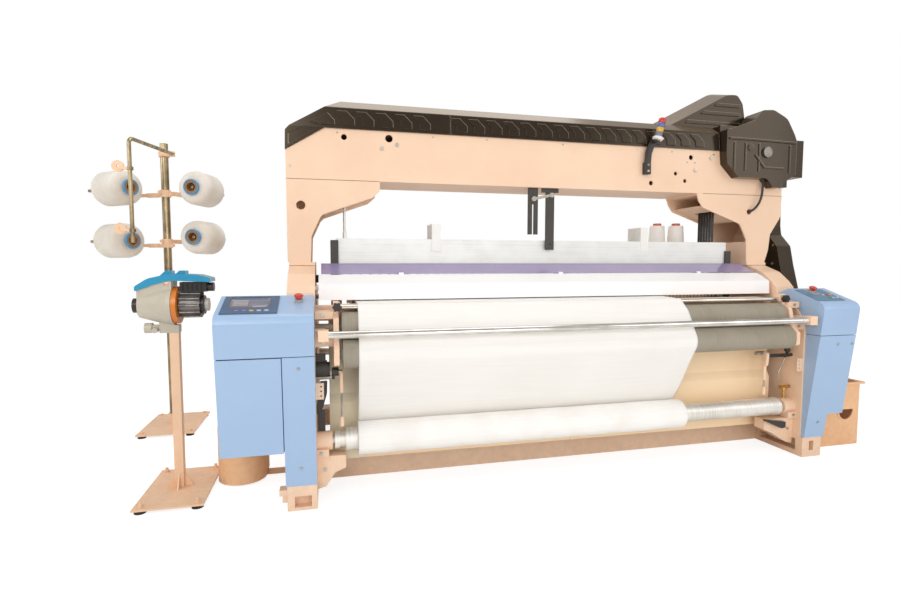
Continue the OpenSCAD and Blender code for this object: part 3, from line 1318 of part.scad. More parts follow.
// Feeder stand: base plate on levelling feet, square post with a gusset, and a clamp head
feeder_at = [-1985, 350];
feeder_z = 905;
feeder_axis = [feeder_at.y, feeder_z];
module feeder_stand() {
  color(peach) in_loom() {
    box(-2130, -1835, 115, 580, plate_z, plate_z + 8);
    for (x = [-2100, -1865], y = [145, 550]) translate([x, y, 0]) {
      cylinder(r = 25, h = 9);
      cylinder(r = 8, h = 46);
      up(plate_z + 8 - e) cylinder(r = 13, h = 9, $fn = 6);
    }
    translate([feeder_at.x - feeder_post_w / 2, feeder_at.y - feeder_post_w / 2,
      plate_z + 8 - e]) difference() {
      cube([feeder_post_w, feeder_post_w, feeder_post_h - plate_z - 8]);
      translate([4, 4, 10]) cube([feeder_post_w - 8, feeder_post_w - 8, feeder_post_h]);
    }
    for (turn = [0, 90, 180, 270]) translate([feeder_at.x, feeder_at.y, plate_z + 8 - e]) rotate([90,
      0, turn])
      translate([feeder_post_w / 2 - e, 0, -3]) linear_extrude(6) polygon([[0, 0], [38, 0], [0, 70]]);
  }
}

// Feeder housing: a horn-shaped body with a flange, its shaft, a knob and the post clamp
feeder_shaft_r = 14;
ring_x = -1980;
module feeder_housing() {
  color([0.66, 0.65, 0.61]) in_loom() {
    difference() {
      union() {
        translate([-2128, feeder_at.y, feeder_z]) rotate([0, 90, 0]) cylinder(r1 = 58, r2 = 78, h = 68);
        translate([-2060 - e, feeder_at.y, feeder_z]) rotate([0, 90, 0]) cylinder(r1 = 78, r2 = 92, h = 62);
        x_rod(feeder_axis, 92, -1998 - e, ring_x - 1);
        along_y(feeder_at.y - 52, feeder_at.y + 52) polygon(rounded([[-2128, 866, 8], [-2128, 984, 10],
          [-2010, 1026, 30], [ring_x - 1, 1034, 10], [ring_x - 1, 930], [-2060, 850, 20]]));
      }
      // Window of the indicator
      along_y(feeder_at.y - 60, feeder_at.y - 47) polygon(rounded([[-2014, 996, 6], [-2014, 1012, 6],
        [-1988, 1012, 6], [-1988, 996, 6]]));
    }
    x_rod(feeder_axis, feeder_shaft_r, ring_x - 2, drum_x.y - 10 - seat_gap);
    x_rod(feeder_axis, 34, -2156, -2128 + e);
    // Clamp to the post with its hand knob
    box(-2046, ring_x - 1, 326, 374, feeder_post_h, 828);
    box(ring_x - 1 - e, -1962, 326, 374, feeder_post_h, 812);
    box(-2080, -2040, 336, 364, 784, 812);
    x_rod([350, 798], 24, -2112, -2080 + e);
    y_rod(-2060, 790, 12, 300, 336 + e);
  }
}

// Feeder cover: an arched shell with two fins
cover_under = 1014;
module feeder_cover() {
  color([0.05, 0.62, 0.78]) in_loom() difference() {
    union() {
      along_y(feeder_at.y - 60, feeder_at.y + 60) polygon(rounded([[-2134, 974, 3], [-2134, 996, 14],
        [-2080, 1032, 80], [-1985, 1054, 40], [-1870, 1050, 60], [-1812, 1034, 8],
        [-1812, cover_under, 4], [-1990, 1022, 4], [-2060, 1002, 40]]));
      for (x = [-2010, -1950]) along_y(feeder_at.y - 30, feeder_at.y + 30) polygon(rounded([[x - 34,
        1034], [x, 1068, 4], [x + 26, 1068, 4], [x + 26, 1040]]));
    }
    along_y(feeder_at.y - 52 - seat_gap, feeder_at.y + 52 + seat_gap) polygon(rounded([[-2129, 850],
      [-2129, 985, 10], [-2010, 1027, 30], [ring_x, 1035, 10], [ring_x, 850]]));
  }
}

// Feeder drum: ribbed, fixed on the shaft, with the sensor block above it
drum_x = [-1953, -1862];
block_z = [968, cover_under - seat_gap];
module feeder_drum() {
  color([0.20, 0.20, 0.21]) in_loom() {
    difference() {
      union() {
        x_rod(feeder_axis, 54, drum_x.x, drum_x.y);
        for (a = [0:30:330]) translate([drum_x.x, feeder_at.y, feeder_z]) rotate([a, 0, 0])
          translate([0, -6, 50]) cube([drum_x.y - drum_x.x, 12, 11]);
        x_rod(feeder_axis, 45, drum_x.y - e, drum_x.y + 14);
        x_rod(feeder_axis, 31, drum_x.y + 14 - e, drum_x.y + 32);
        box(drum_x.y - 8, drum_x.y + 8, feeder_at.y - 8, feeder_at.y + 8, 930, block_z.x + 4);
      }
      x_rod(feeder_axis, feeder_shaft_r, drum_x.x - e, drum_x.y - 10);
    }
    difference() {
      box(-1950, -1834, feeder_at.y - 34, feeder_at.y + 34, block_z.x, block_z.y);
      for (x = [-1938:20:-1850]) box(x, x + 7, feeder_at.y - 35, feeder_at.y - 28, block_z.x + 6,
        block_z.y - 10);
    }
    x_rod([feeder_at.y, block_z.x + 22], 21, -1834 - e, -1806);
  }
}
module winding_ring() {
  color([0.95, 0.60, 0.15]) in_loom() difference() {
    union() {
      x_rod(feeder_axis, 88, ring_x, ring_x + 22);
      x_rod(feeder_axis, 30, ring_x + 22 - e, ring_x + 26);
    }
    x_rod(feeder_axis, feeder_shaft_r + run_fit, ring_x - e, ring_x + 30);
    for (a = [0:60:300]) translate([ring_x - e, feeder_at.y, feeder_z]) rotate([a, 0, 0]) translate([0,
      0, 72])
      rotate([0, 90, 0]) cylinder(r = 4, h = 24);
  }
}

left_side_frame();
right_side_frame();
cross_beams();
gantry_beam();
gantry_leg_left();
gantry_leg_right();
ridge_cover();
rear_hood();
dobby_housing();
drive_cover();
signal_tower();
left_hood();
cabinet_box();
cabinet_door();
column_cover();
control_panels();
right_hood();
right_cover();
stop_button_left();
stop_button_right();
splash_cover();
window_flap();
breast_beam();
front_rails();
take_up_roller();
press_roller();
cloth_roller();
cloth_roll();
cloth();
press_linkage();
drive_motors();
star_knob_left();
star_knob_right();
t_handle();
heald_frame_1();
heald_frame_2();
heald_frame_3();
heald_frame_4();
heald_frame_5();
heald_frame_6();
frame_guides();
sley();
reed();
water_pump();
warp_beam();
back_rest_roller();
warp_sheet();
waste_tub();
waste_bin();
hose();
bolts();
creel_base();
creel_post();
creel_guide_rod();
yarn_packages();
feeder_stand();
feeder_housing();
feeder_cover();
feeder_drum();
winding_ring();
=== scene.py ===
# Power loom with its weft creel, feeder stand, waste tub and waste bin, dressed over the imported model.
import bpy, bmesh, math, random
from mathutils import Matrix, Vector, noise


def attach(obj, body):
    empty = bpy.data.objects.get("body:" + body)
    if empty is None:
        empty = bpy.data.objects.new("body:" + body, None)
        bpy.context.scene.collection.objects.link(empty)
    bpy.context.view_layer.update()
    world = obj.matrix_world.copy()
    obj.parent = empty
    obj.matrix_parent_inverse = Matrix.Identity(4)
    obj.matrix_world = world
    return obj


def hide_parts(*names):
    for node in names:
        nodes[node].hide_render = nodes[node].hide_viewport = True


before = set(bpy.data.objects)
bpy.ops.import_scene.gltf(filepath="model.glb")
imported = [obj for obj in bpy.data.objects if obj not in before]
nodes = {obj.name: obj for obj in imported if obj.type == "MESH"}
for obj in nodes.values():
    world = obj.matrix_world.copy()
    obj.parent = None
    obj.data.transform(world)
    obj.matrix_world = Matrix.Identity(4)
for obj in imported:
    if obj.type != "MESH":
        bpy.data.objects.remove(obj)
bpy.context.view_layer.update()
scene = bpy.context.scene
scene.view_settings.view_transform = "Standard"

# Camera. It stands left of the loom's centre, 0.3 m above the handrail, and looks slightly to the
# right and down, with a wide lens. LOOM is the middle of the loom's front, where its places start.
LOOM = Vector((0.445, -0.810, 0.0))
focal_pixels, photo_pixels = 519.3, 900.0
camera = bpy.data.objects.new("camera", bpy.data.cameras.new("camera"))
scene.collection.objects.link(camera)
camera.location = LOOM + Vector((-1.285, -2.342, 1.10))
camera.rotation_euler = (math.radians(86.0), 0.0, math.radians(-13.48))
camera.data.sensor_width = 36.0
camera.data.lens = focal_pixels / photo_pixels * 36.0
camera.data.clip_end = 60.0
scene.camera = camera

# Floor and light. The loom stands on a pale seamless floor in a white room, with large soft boxes in
# front, on both sides and overhead.
def srgb(*levels):
    shares = [level / 255.0 for level in levels]
    return tuple(((s + 0.055) / 1.055) ** 2.4 if s > 0.04045 else s / 12.92 for s in shares) + (1.0,)


floor_mesh = bpy.data.meshes.new("floor")
floor_shape = bmesh.new()
bmesh.ops.create_grid(floor_shape, x_segments=1, y_segments=1, size=14.0)
floor_shape.to_mesh(floor_mesh)
floor_shape.free()
floor = bpy.data.objects.new("floor", floor_mesh)
scene.collection.objects.link(floor)
paper = bpy.data.materials.new("pale_floor")
paper.use_nodes = True
tree = paper.node_tree
surface = tree.nodes["Principled BSDF"]
surface.inputs["Base Color"].default_value = srgb(248, 247, 246)
surface.inputs["Roughness"].default_value = 0.9
surface.inputs["Specular IOR Level"].default_value = 0.1
glow = tree.nodes.new("ShaderNodeEmission")
glow.inputs["Color"].default_value = (1.0, 1.0, 1.0, 1.0)
glow.inputs["Strength"].default_value = 1.36
rays = tree.nodes.new("ShaderNodeLightPath")
seen = tree.nodes.new("ShaderNodeMath")
seen.operation = "MULTIPLY"
seen.inputs[1].default_value = 0.6
tree.links.new(rays.outputs["Is Camera Ray"], seen.inputs[0])
blend = tree.nodes.new("ShaderNodeMixShader")
tree.links.new(seen.outputs[0], blend.inputs[0])
tree.links.new(surface.outputs[0], blend.inputs[1])
tree.links.new(glow.outputs[0], blend.inputs[2])
tree.links.new(blend.outputs[0], tree.nodes["Material Output"].inputs["Surface"])
floor_mesh.materials.append(paper)

world = bpy.data.worlds.new("white_room")
scene.world = world
world.use_nodes = True
tree = world.node_tree
room = tree.nodes["Background"]
room.inputs["Color"].default_value = (1.0, 1.0, 1.0, 1.0)
rays = tree.nodes.new("ShaderNodeLightPath")
seen = tree.nodes.new("ShaderNodeMath")
seen.operation = "MAXIMUM"
tree.links.new(rays.outputs["Is Camera Ray"], seen.inputs[0])
tree.links.new(rays.outputs["Is Transmission Ray"], seen.inputs[1])
level = tree.nodes.new("ShaderNodeMapRange")
level.inputs["To Min"].default_value = 0.55
level.inputs["To Max"].default_value = 1.0
tree.links.new(seen.outputs[0], level.inputs["Value"])
tree.links.new(level.outputs["Result"], room.inputs["Strength"])

for name, place, aim, size, power in (
        ("front_box", (-2.6, -5.4, 3.6), (0.4, -0.2, 0.9), 3.0, 94.0),
        ("low_box", (0.8, -5.2, 0.8), (0.5, 0.0, 0.45), 2.4, 42.0),
        ("left_box", (-6.0, -1.0, 3.2), (0.0, 0.0, 0.8), 2.6, 45.0),
        ("right_box", (4.6, -4.6, 2.8), (0.8, 0.0, 0.9), 2.6, 36.0),
        ("top_box", (0.4, 0.4, 5.2), (0.4, 0.0, 1.0), 4.0, 90.0)):
    lamp = bpy.data.lights.new(name, "AREA")
    lamp.shape = "SQUARE"
    lamp.size = size
    lamp.energy = power
    lamp_object = bpy.data.objects.new(name, lamp)
    scene.collection.objects.link(lamp_object)
    lamp_object.location = place
    lamp_object.rotation_euler = (Vector(aim) - Vector(place)).to_track_quat("-Z", "Y").to_euler()

# Side frames, cross beams and gantry. They are cast iron and welded plate, primed and sprayed in one peach
# enamel that lies a little unevenly over the cast skin and gathers dust near the floor.
def node(tree, kind, wires=None, **settings):
    made = tree.nodes.new(kind)
    for key, value in settings.items():
        setattr(made, key, value)
    for key, value in (wires or {}).items():
        if isinstance(value, bpy.types.NodeSocket):
            tree.links.new(value, made.inputs[key])
        else:
            made.inputs[key].default_value = value
    return made


def shader_group(name, inputs, outputs):
    group = bpy.data.node_groups.new(name, "ShaderNodeTree")
    for label, kind, value in inputs:
        group.interface.new_socket(label, in_out="INPUT", socket_type=kind).default_value = value
    for label, kind in outputs:
        group.interface.new_socket(label, in_out="OUTPUT", socket_type=kind)
    return group, group.nodes.new("NodeGroupInput").outputs, group.nodes.new("NodeGroupOutput").inputs


COLOUR, NUMBER, ARROW = "NodeSocketColor", "NodeSocketFloat", "NodeSocketVector"
enamel_film, given, result = shader_group(
    "enamel_film",
    [("Colour", COLOUR, (0.8, 0.8, 0.8, 1)), ("Shade", COLOUR, (0.6, 0.6, 0.6, 1)), ("Scale", NUMBER, 3.0),
     ("Gloss", NUMBER, 0.4), ("Peel", NUMBER, 0.2), ("Dust", NUMBER, 0.3)],
    [("Colour", COLOUR), ("Roughness", NUMBER), ("Normal", ARROW)])
place = node(enamel_film, "ShaderNodeTexCoord").outputs["Object"]
clouds = node(enamel_film, "ShaderNodeTexNoise", {"Vector": place, "Scale": given["Scale"], "Detail": 5.0,
                                                  "Roughness": 0.6})
patch = node(enamel_film, "ShaderNodeMapRange", {"Value": clouds.outputs["Fac"], "From Min": 0.38,
                                                 "From Max": 0.72, "To Max": 0.55})
tone = node(enamel_film, "ShaderNodeMix", {"Factor": patch.outputs["Result"], 6: given["Colour"],
                                           7: given["Shade"]}, data_type="RGBA")
height = node(enamel_film, "ShaderNodeSeparateXYZ", {"Vector": place}).outputs["Z"]
low = node(enamel_film, "ShaderNodeMapRange", {"Value": height, "From Min": 0.02, "From Max": 0.45,
                                               "To Min": 1.0, "To Max": 0.0})
speckle = node(enamel_film, "ShaderNodeTexNoise", {"Vector": place, "Scale": 30.0, "Detail": 9.0,
                                                    "Roughness": 0.75})
spots = node(enamel_film, "ShaderNodeMapRange", {"Value": speckle.outputs["Fac"], "From Min": 0.4,
                                                 "From Max": 0.95})
settled = node(enamel_film, "ShaderNodeMath", {0: low.outputs["Result"], 1: spots.outputs["Result"]},
               operation="MULTIPLY")
dirt = node(enamel_film, "ShaderNodeMath", {0: settled.outputs[0], 1: given["Dust"]}, operation="MULTIPLY")
dusty = node(enamel_film, "ShaderNodeMix", {"Factor": dirt.outputs[0], 6: tone.outputs[2],
                                            7: srgb(120, 98, 78)}, data_type="RGBA")
fine = node(enamel_film, "ShaderNodeTexNoise", {"Vector": place, "Scale": 220.0, "Detail": 2.0})
peel = node(enamel_film, "ShaderNodeBump", {"Height": fine.outputs["Fac"], "Strength": given["Peel"],
                                            "Distance": 0.0006})
sheen = node(enamel_film, "ShaderNodeMapRange", {"Value": speckle.outputs["Fac"], "To Min": -0.03,
                                                 "To Max": 0.05})
rough = node(enamel_film, "ShaderNodeMath", {0: sheen.outputs["Result"], 1: given["Gloss"]})
for label, socket in (("Colour", dusty.outputs[2]), ("Roughness", rough.outputs[0]),
                      ("Normal", peel.outputs["Normal"])):
    enamel_film.links.new(socket, result[label])


def finish(name, group, metallic=0.0, coat=0.0, **values):
    material = bpy.data.materials.new(name)
    material.use_nodes = True
    tree = material.node_tree
    shader = tree.nodes["Principled BSDF"]
    layer = node(tree, "ShaderNodeGroup", node_tree=group)
    for label, value in values.items():
        layer.inputs[label].default_value = srgb(*value) if label in ("Colour", "Shade") else value
    shader.inputs["Metallic"].default_value = metallic
    shader.inputs["Coat Weight"].default_value = coat
    for label, socket in (("Colour", "Base Color"), ("Roughness", "Roughness"), ("Normal", "Normal")):
        if label in layer.outputs:
            tree.links.new(layer.outputs[label], shader.inputs[socket])
    return material


def dress(material, *names):
    for name in names:
        for slot in nodes[name].material_slots:
            slot.material = material


def at(x, y, z):
    return LOOM + Vector((x, y, z)) / 1000.0


def zones(material, colour, low, high):
    tree = material.node_tree
    shader = tree.nodes["Principled BSDF"]
    place = node(tree, "ShaderNodeTexCoord").outputs["Object"]
    above = node(tree, "ShaderNodeVectorMath", {0: place, 1: at(*low)}, operation="SUBTRACT")
    under = node(tree, "ShaderNodeVectorMath", {0: at(*high), 1: place}, operation="SUBTRACT")
    least = node(tree, "ShaderNodeVectorMath", {0: above.outputs[0], 1: under.outputs[0]},
                 operation="MINIMUM")
    parts = node(tree, "ShaderNodeSeparateXYZ", {"Vector": least.outputs[0]})
    nearest_side = node(tree, "ShaderNodeMath", {0: parts.outputs[0], 1: parts.outputs[1]},
                        operation="MINIMUM")
    nearest = node(tree, "ShaderNodeMath", {0: nearest_side.outputs[0], 1: parts.outputs[2]},
                   operation="MINIMUM")
    inside = node(tree, "ShaderNodeMath", {0: nearest.outputs[0], 1: 0.0}, operation="GREATER_THAN")
    under_colour = shader.inputs["Base Color"].links[0].from_socket
    tone = node(tree, "ShaderNodeMix", {"Factor": inside.outputs[0], 6: under_colour, 7: srgb(*colour)},
                data_type="RGBA")
    tree.links.new(tone.outputs[2], shader.inputs["Base Color"])
    if shader.inputs["Metallic"].links:
        bare = shader.inputs["Metallic"].links[0].from_socket
    else:
        bare = node(tree, "ShaderNodeValue").outputs[0]
        bare.default_value = shader.inputs["Metallic"].default_value
    metal = node(tree, "ShaderNodeMix", {"Factor": inside.outputs[0], 2: bare, 3: 0.0}, data_type="FLOAT")
    tree.links.new(metal.outputs[0], shader.inputs["Metallic"])


def frame_enamel(name):
    return finish(name, enamel_film, Colour=(245, 211, 181), Shade=(233, 192, 160), Scale=2.2, Gloss=0.42,
                  Peel=0.3, Dust=0.3)


peach_enamel = frame_enamel("peach_enamel")
# Thin dark bands where the gantry beam meets its legs, and at a lower seam on each side, are painted shade
# in the joints.
for low, high in (((-1480, 430, 1531.2), (-1000, 452, 1534.4)), ((990, 430, 1531.2), (1590, 452, 1534.4)),
                  ((-1480, 430, 1088.6), (-1330, 460, 1091.4)), ((1330, 430, 1088.6), (1480, 460, 1091.4))):
    zones(peach_enamel, (132, 104, 82), low, high)
dress(peach_enamel, "left_side_frame", "right_side_frame", "cross_beams", "gantry_beam", "gantry_leg_left",
      "gantry_leg_right")

# Fasteners and oil hose. Zinc-plated socket and hexagon screws dulled by oil, and a black rubber hose
# along the right leg.
worked_steel, given, result = shader_group(
    "worked_steel",
    [("Colour", COLOUR, (0.6, 0.6, 0.6, 1)), ("Shade", COLOUR, (0.4, 0.4, 0.4, 1)), ("Gloss", NUMBER, 0.3),
     ("Stretch", ARROW, (2.0, 180.0, 180.0)), ("Lines", NUMBER, 0.3)],
    [("Colour", COLOUR), ("Roughness", NUMBER), ("Normal", ARROW)])
place = node(worked_steel, "ShaderNodeTexCoord").outputs["Object"]
stretched = node(worked_steel, "ShaderNodeVectorMath", {0: place, 1: given["Stretch"]},
                 operation="MULTIPLY")
lines = node(worked_steel, "ShaderNodeTexNoise",
             {"Vector": stretched.outputs[0], "Scale": 1.0, "Detail": 4.0})
stains = node(worked_steel, "ShaderNodeTexNoise", {"Vector": place, "Scale": 9.0, "Detail": 5.0})
mixed = node(worked_steel, "ShaderNodeMath", {0: lines.outputs["Fac"], 1: stains.outputs["Fac"]},
             operation="MULTIPLY")
patch = node(worked_steel, "ShaderNodeMapRange", {"Value": mixed.outputs[0], "From Min": 0.18,
                                                  "From Max": 0.36})
tone = node(worked_steel, "ShaderNodeMix", {"Factor": patch.outputs["Result"], 6: given["Colour"],
                                            7: given["Shade"]}, data_type="RGBA")
sheen = node(worked_steel, "ShaderNodeMapRange", {"Value": lines.outputs["Fac"], "To Min": -0.09,
                                                  "To Max": 0.12})
rough = node(worked_steel, "ShaderNodeMath", {0: sheen.outputs["Result"], 1: given["Gloss"]})
cuts = node(worked_steel, "ShaderNodeBump", {"Height": lines.outputs["Fac"], "Strength": given["Lines"],
                                             "Distance": 0.0003})
for label, socket in (("Colour", tone.outputs[2]), ("Roughness", rough.outputs[0]),
                      ("Normal", cuts.outputs["Normal"])):
    worked_steel.links.new(socket, result[label])

zinc_screws = finish("zinc_screws", worked_steel, 0.9, Colour=(200, 196, 186), Shade=(150, 145, 135),
                     Gloss=0.34, Stretch=(60.0, 60.0, 60.0), Lines=0.15)
hose_rubber = finish("hose_rubber", enamel_film, Colour=(58, 54, 50), Shade=(40, 37, 34), Scale=30.0,
                     Gloss=0.5, Peel=0.5, Dust=0.0)
for low, high in (((-1416, -12, 180), (-1390, 40, 670)), ((1460, -12, 640), (1590, 40, 670)),
                  ((1412, -12, 188), (1438, 40, 214))):
    zones(zinc_screws, (62, 62, 108), low, high)
dress(zinc_screws, "bolts")
dress(hose_rubber, "hose")

# Long ridge cover, rear hood, dobby housing and rear drive cover. Black-brown ABS sheet, vacuum formed over
# a mould with chevron ribs that stay glossy. Faces that point up get a lighter brown as painted top light,
# and rolled edges that face up and to the right get a pale painted highlight.
def shell_plastic(name, colour, painted_top_light, shade, gloss, scale):
    material = finish(name, enamel_film, coat=0.3, Colour=colour, Shade=shade, Scale=scale, Gloss=gloss,
                      Peel=0.12, Dust=0.0)
    tree = material.node_tree
    shader = tree.nodes["Principled BSDF"]
    layer = next(n for n in tree.nodes if n.type == "GROUP")
    painted_highlight_side = (0.75, -0.2, 0.8)
    normal = node(tree, "ShaderNodeNewGeometry").outputs["Normal"]
    # Painted top light: faces that point up are mixed towards the lighter brown.
    up = node(tree, "ShaderNodeSeparateXYZ", {"Vector": normal}).outputs["Z"]
    top_light_mask = node(tree, "ShaderNodeMapRange", {"Value": up, "From Min": 0.25, "From Max": 0.85})
    tone = node(tree, "ShaderNodeMix", {"Factor": top_light_mask.outputs["Result"], 6: layer.outputs["Colour"],
                                        7: srgb(*painted_top_light)}, data_type="RGBA")
    # Painted highlight: rolled edges that lean up and to the right are mixed towards a pale khaki.
    rolled = node(tree, "ShaderNodeBevel", {"Radius": 0.006}, samples=6)
    lean = node(tree, "ShaderNodeVectorMath", {0: rolled.outputs["Normal"], 1: normal},
                operation="SUBTRACT")
    lit = node(tree, "ShaderNodeVectorMath", {0: lean.outputs[0], 1: painted_highlight_side}, operation="DOT_PRODUCT")
    painted_edge_highlight = node(tree, "ShaderNodeMapRange",
                {"Value": lit.outputs["Value"], "From Min": 0.08, "From Max": 0.5, "To Max": 0.75})
    edge = node(tree, "ShaderNodeMix", {"Factor": painted_edge_highlight.outputs["Result"], 6: tone.outputs[2],
                                        7: srgb(172, 162, 148)}, data_type="RGBA")
    tree.links.new(edge.outputs[2], shader.inputs["Base Color"])
    shader.inputs["Specular Tint"].default_value = srgb(255, 226, 190)
    shader.inputs["Coat Tint"].default_value = srgb(255, 232, 200)
    shader.inputs["Specular IOR Level"].default_value = 0.42
    shader.inputs["Coat Roughness"].default_value = 0.14
    return material


def soften(width, *names):
    for name in names:
        joined = nodes[name].modifiers.new("joined", "WELD")
        joined.merge_threshold = 0.00002
        rolled = nodes[name].modifiers.new("rolled_edge", "BEVEL")
        rolled.width = width
        rolled.segments = 2
        rolled.limit_method = "ANGLE"
        rolled.angle_limit = math.radians(38.0)
        rolled.harden_normals = True


# The second colour of each finish is the painted top light of its upward faces.
cover_plastic = shell_plastic("cover_plastic", (30, 24, 18), (104, 92, 77), (42, 35, 27), 0.22, 5.0)
housing_plastic = shell_plastic("housing_plastic", (32, 26, 20), (84, 74, 60), (46, 39, 30), 0.2, 7.0)
dress(cover_plastic, "ridge_cover", "rear_hood")
dress(housing_plastic, "dobby_housing", "drive_cover")
soften(0.0022, "ridge_cover", "rear_hood", "dobby_housing", "drive_cover")

# Signal tower. Four moulded lamp lenses, each with fine vertical ribs, are stacked on a white flared seat
# and clamped to a bent black steel bracket that two screws hold to the gantry.
def join(shape, part, material, place=None):
    for face in part.faces:
        face.material_index = material
    if place:
        bmesh.ops.transform(part, matrix=place, verts=part.verts)
    mesh = bpy.data.meshes.new("part")
    part.to_mesh(mesh)
    part.free()
    shape.from_mesh(mesh)
    bpy.data.meshes.remove(mesh)


def turned(shape, profile, place, steps=48, material=0):
    lathe = bmesh.new()
    points = [lathe.verts.new((reach, 0.0, radius)) for reach, radius in profile]
    edges = [lathe.edges.new(pair) for pair in zip(points, points[1:])]
    bmesh.ops.spin(lathe, geom=points + edges, cent=(0, 0, 0), axis=(1, 0, 0), angle=2 * math.pi,
                   steps=steps, use_merge=True, use_duplicate=False)
    bmesh.ops.remove_doubles(lathe, verts=lathe.verts, dist=1e-6)
    join(shape, lathe, material, place)


def along(start, end):
    return Matrix.Translation(start) @ (end - start).to_track_quat("X", "Z").to_matrix().to_4x4()


def block(shape, low, high, edge=0.0015, material=0, place=None):
    size = high - low
    brick = bmesh.new()
    bmesh.ops.create_cube(brick, size=1.0, matrix=Matrix.Translation((low + high) / 2)
                          @ Matrix.Diagonal((size.x, size.y, size.z, 1.0)))
    if edge:
        bmesh.ops.bevel(brick, geom=brick.edges[:], offset=edge, segments=2, profile=0.5, affect="EDGES",
                        material=-1)
    join(shape, brick, material, place)


def piece(name, shape, materials, body="loom", instead=(), sharp=38):
    bmesh.ops.recalc_face_normals(shape, faces=shape.faces)
    mesh = bpy.data.meshes.new(name)
    shape.to_mesh(mesh)
    shape.free()
    mesh.shade_smooth()
    mesh.set_sharp_from_angle(angle=math.radians(sharp))
    for material in materials:
        mesh.materials.append(material)
    made = bpy.data.objects.new(name, mesh)
    scene.collection.objects.link(made)
    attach(made, body)
    if instead:
        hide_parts(*instead)
    return made


def lens(name, colour, shade):
    material = finish(name, enamel_film, coat=0.6, Colour=colour, Shade=shade, Scale=40.0, Gloss=0.16,
                      Peel=0.05, Dust=0.0)
    shader = material.node_tree.nodes["Principled BSDF"]
    shader.inputs["Subsurface Weight"].default_value = 0.15
    shader.inputs["Subsurface Radius"].default_value = (0.01, 0.01, 0.01)
    return material


bracket_black = finish("bracket_black", enamel_film, Colour=(52, 46, 42), Shade=(38, 34, 31), Scale=12.0,
                       Gloss=0.4, Peel=0.3, Dust=0.0)
tower_finishes = [bracket_black, lens("white_seat", (236, 232, 226), (220, 214, 206)),
                  lens("grey_lens", (122, 128, 142), (96, 102, 118)),
                  lens("yellow_lens", (226, 178, 52), (196, 146, 30)),
                  lens("blue_lens", (92, 116, 168), (70, 90, 140)),
                  lens("red_lens", (214, 62, 48), (176, 40, 32)), zinc_screws]
tower = bmesh.new()
block(tower, at(564, 428, 1630), at(604, 450, 1700), 0.003)
outline = [(564, 1630), (604, 1630), (602, 1700), (606, 1750), (622, 1790), (652, 1822), (606, 1834),
           (582, 1800), (567, 1760), (562, 1700)]
corners = [tower.verts.new(at(x, 428, z)) for x, z in outline]
plate = tower.faces.new(corners)
front = bmesh.ops.extrude_face_region(tower, geom=[plate])["geom"]
bmesh.ops.translate(tower, verts=[v for v in front if isinstance(v, bmesh.types.BMVert)],
                    vec=(0.0, -0.008, 0.0))
bmesh.ops.bevel(tower, geom=list({e for f in front if isinstance(f, bmesh.types.BMFace) for e in f.edges}),
                offset=0.0012, segments=2, profile=0.5, affect="EDGES", material=-1)
block(tower, at(602, 390, 1816), at(640, 422, 1826), 0.002)
for z in (1648, 1684):
    turned(tower, [(0, 0), (0, 0.007), (0.005, 0.0075), (0.0062, 0.005), (0.0062, 0)],
           along(at(584, 421, z), at(584, 400, z)), 20, 6)
seat = at(622, 392, 1824)
tilt = math.radians(14.0)
stack = along(seat, seat + Vector((math.sin(tilt), 0.0, math.cos(tilt))))
turned(tower, [(0, 0), (0, 0.026), (0.009, 0.033), (0.0105, 0.0338), (0.012, 0.033), (0.017, 0.026),
               (0.018, 0.024), (0.018, 0)], stack, 48, 1)
lowest_lens, lens_step, ribs = 0.0175, 0.027, 20
for step in range(4):
    foot = lowest_lens + lens_step * step
    turned(tower, [(foot, 0), (foot, 0.0165), (foot + 0.0028, 0.0165), (foot + 0.0032, 0.0196),
                   (foot + 0.0042, 0.02), (foot + 0.0262, 0.02), (foot + 0.0272, 0.0194),
                   (foot + 0.0272, 0)], stack, 40, 2 + step)
    for rib in range(ribs):
        rib_place = stack @ Matrix.Rotation(rib * 2 * math.pi / ribs, 4, "X")
        block(tower, Vector((foot + 0.006, -0.0008, 0.0194)), Vector((foot + 0.0245, 0.0008, 0.0206)), 0.0,
              2 + step, rib_place)
turned(tower, [(0.1255, 0.0194), (0.1265, 0.0194), (0.1292, 0.0165), (0.1302, 0.0125), (0.1304, 0)], stack,
       40, 5)
piece("lamp_tower", tower, tower_finishes, "loom", ["signal_tower"])

# Sight glass of the dobby. A clear moulded dome, pressed into the round boss of the housing, through which
# the oil drip is seen. Its plastic has hazed a little.
haze_film, given, result = shader_group(
    "haze_film",
    [("Colour", COLOUR, (0.3, 0.3, 0.3, 1)), ("Shade", COLOUR, (0.5, 0.5, 0.5, 1)), ("Scale", NUMBER, 20.0),
     ("Gloss", NUMBER, 0.05)],
    [("Colour", COLOUR), ("Roughness", NUMBER)])
place = node(haze_film, "ShaderNodeTexCoord").outputs["Object"]
haze = node(haze_film, "ShaderNodeTexNoise", {"Vector": place, "Scale": given["Scale"], "Detail": 3.0})
tone = node(haze_film, "ShaderNodeMix", {"Factor": haze.outputs["Fac"], 6: given["Colour"],
                                         7: given["Shade"]}, data_type="RGBA")
dull = node(haze_film, "ShaderNodeMapRange", {"Value": haze.outputs["Fac"], "To Min": given["Gloss"],
                                              "To Max": 0.2})
haze_film.links.new(tone.outputs[2], result["Colour"])
haze_film.links.new(dull.outputs["Result"], result["Roughness"])
clear_plastic = finish("clear_plastic", haze_film, coat=1.0, Colour=(150, 142, 130), Shade=(196, 190, 180),
                       Scale=60.0, Gloss=0.05)
clear_plastic.node_tree.nodes["Principled BSDF"].inputs["Alpha"].default_value = 0.55
glass = bmesh.new()
turned(glass, [(0.0, 0.0), (0.0, 0.031), (0.003, 0.031), (0.0035, 0.028), (0.0075, 0.025), (0.011, 0.018),
               (0.0128, 0.009), (0.0132, 0.0)], along(at(1393, 379.6, 1789), at(1393, 370, 1789)), 56)
piece("sight_glass", glass, [clear_plastic], "loom", ())

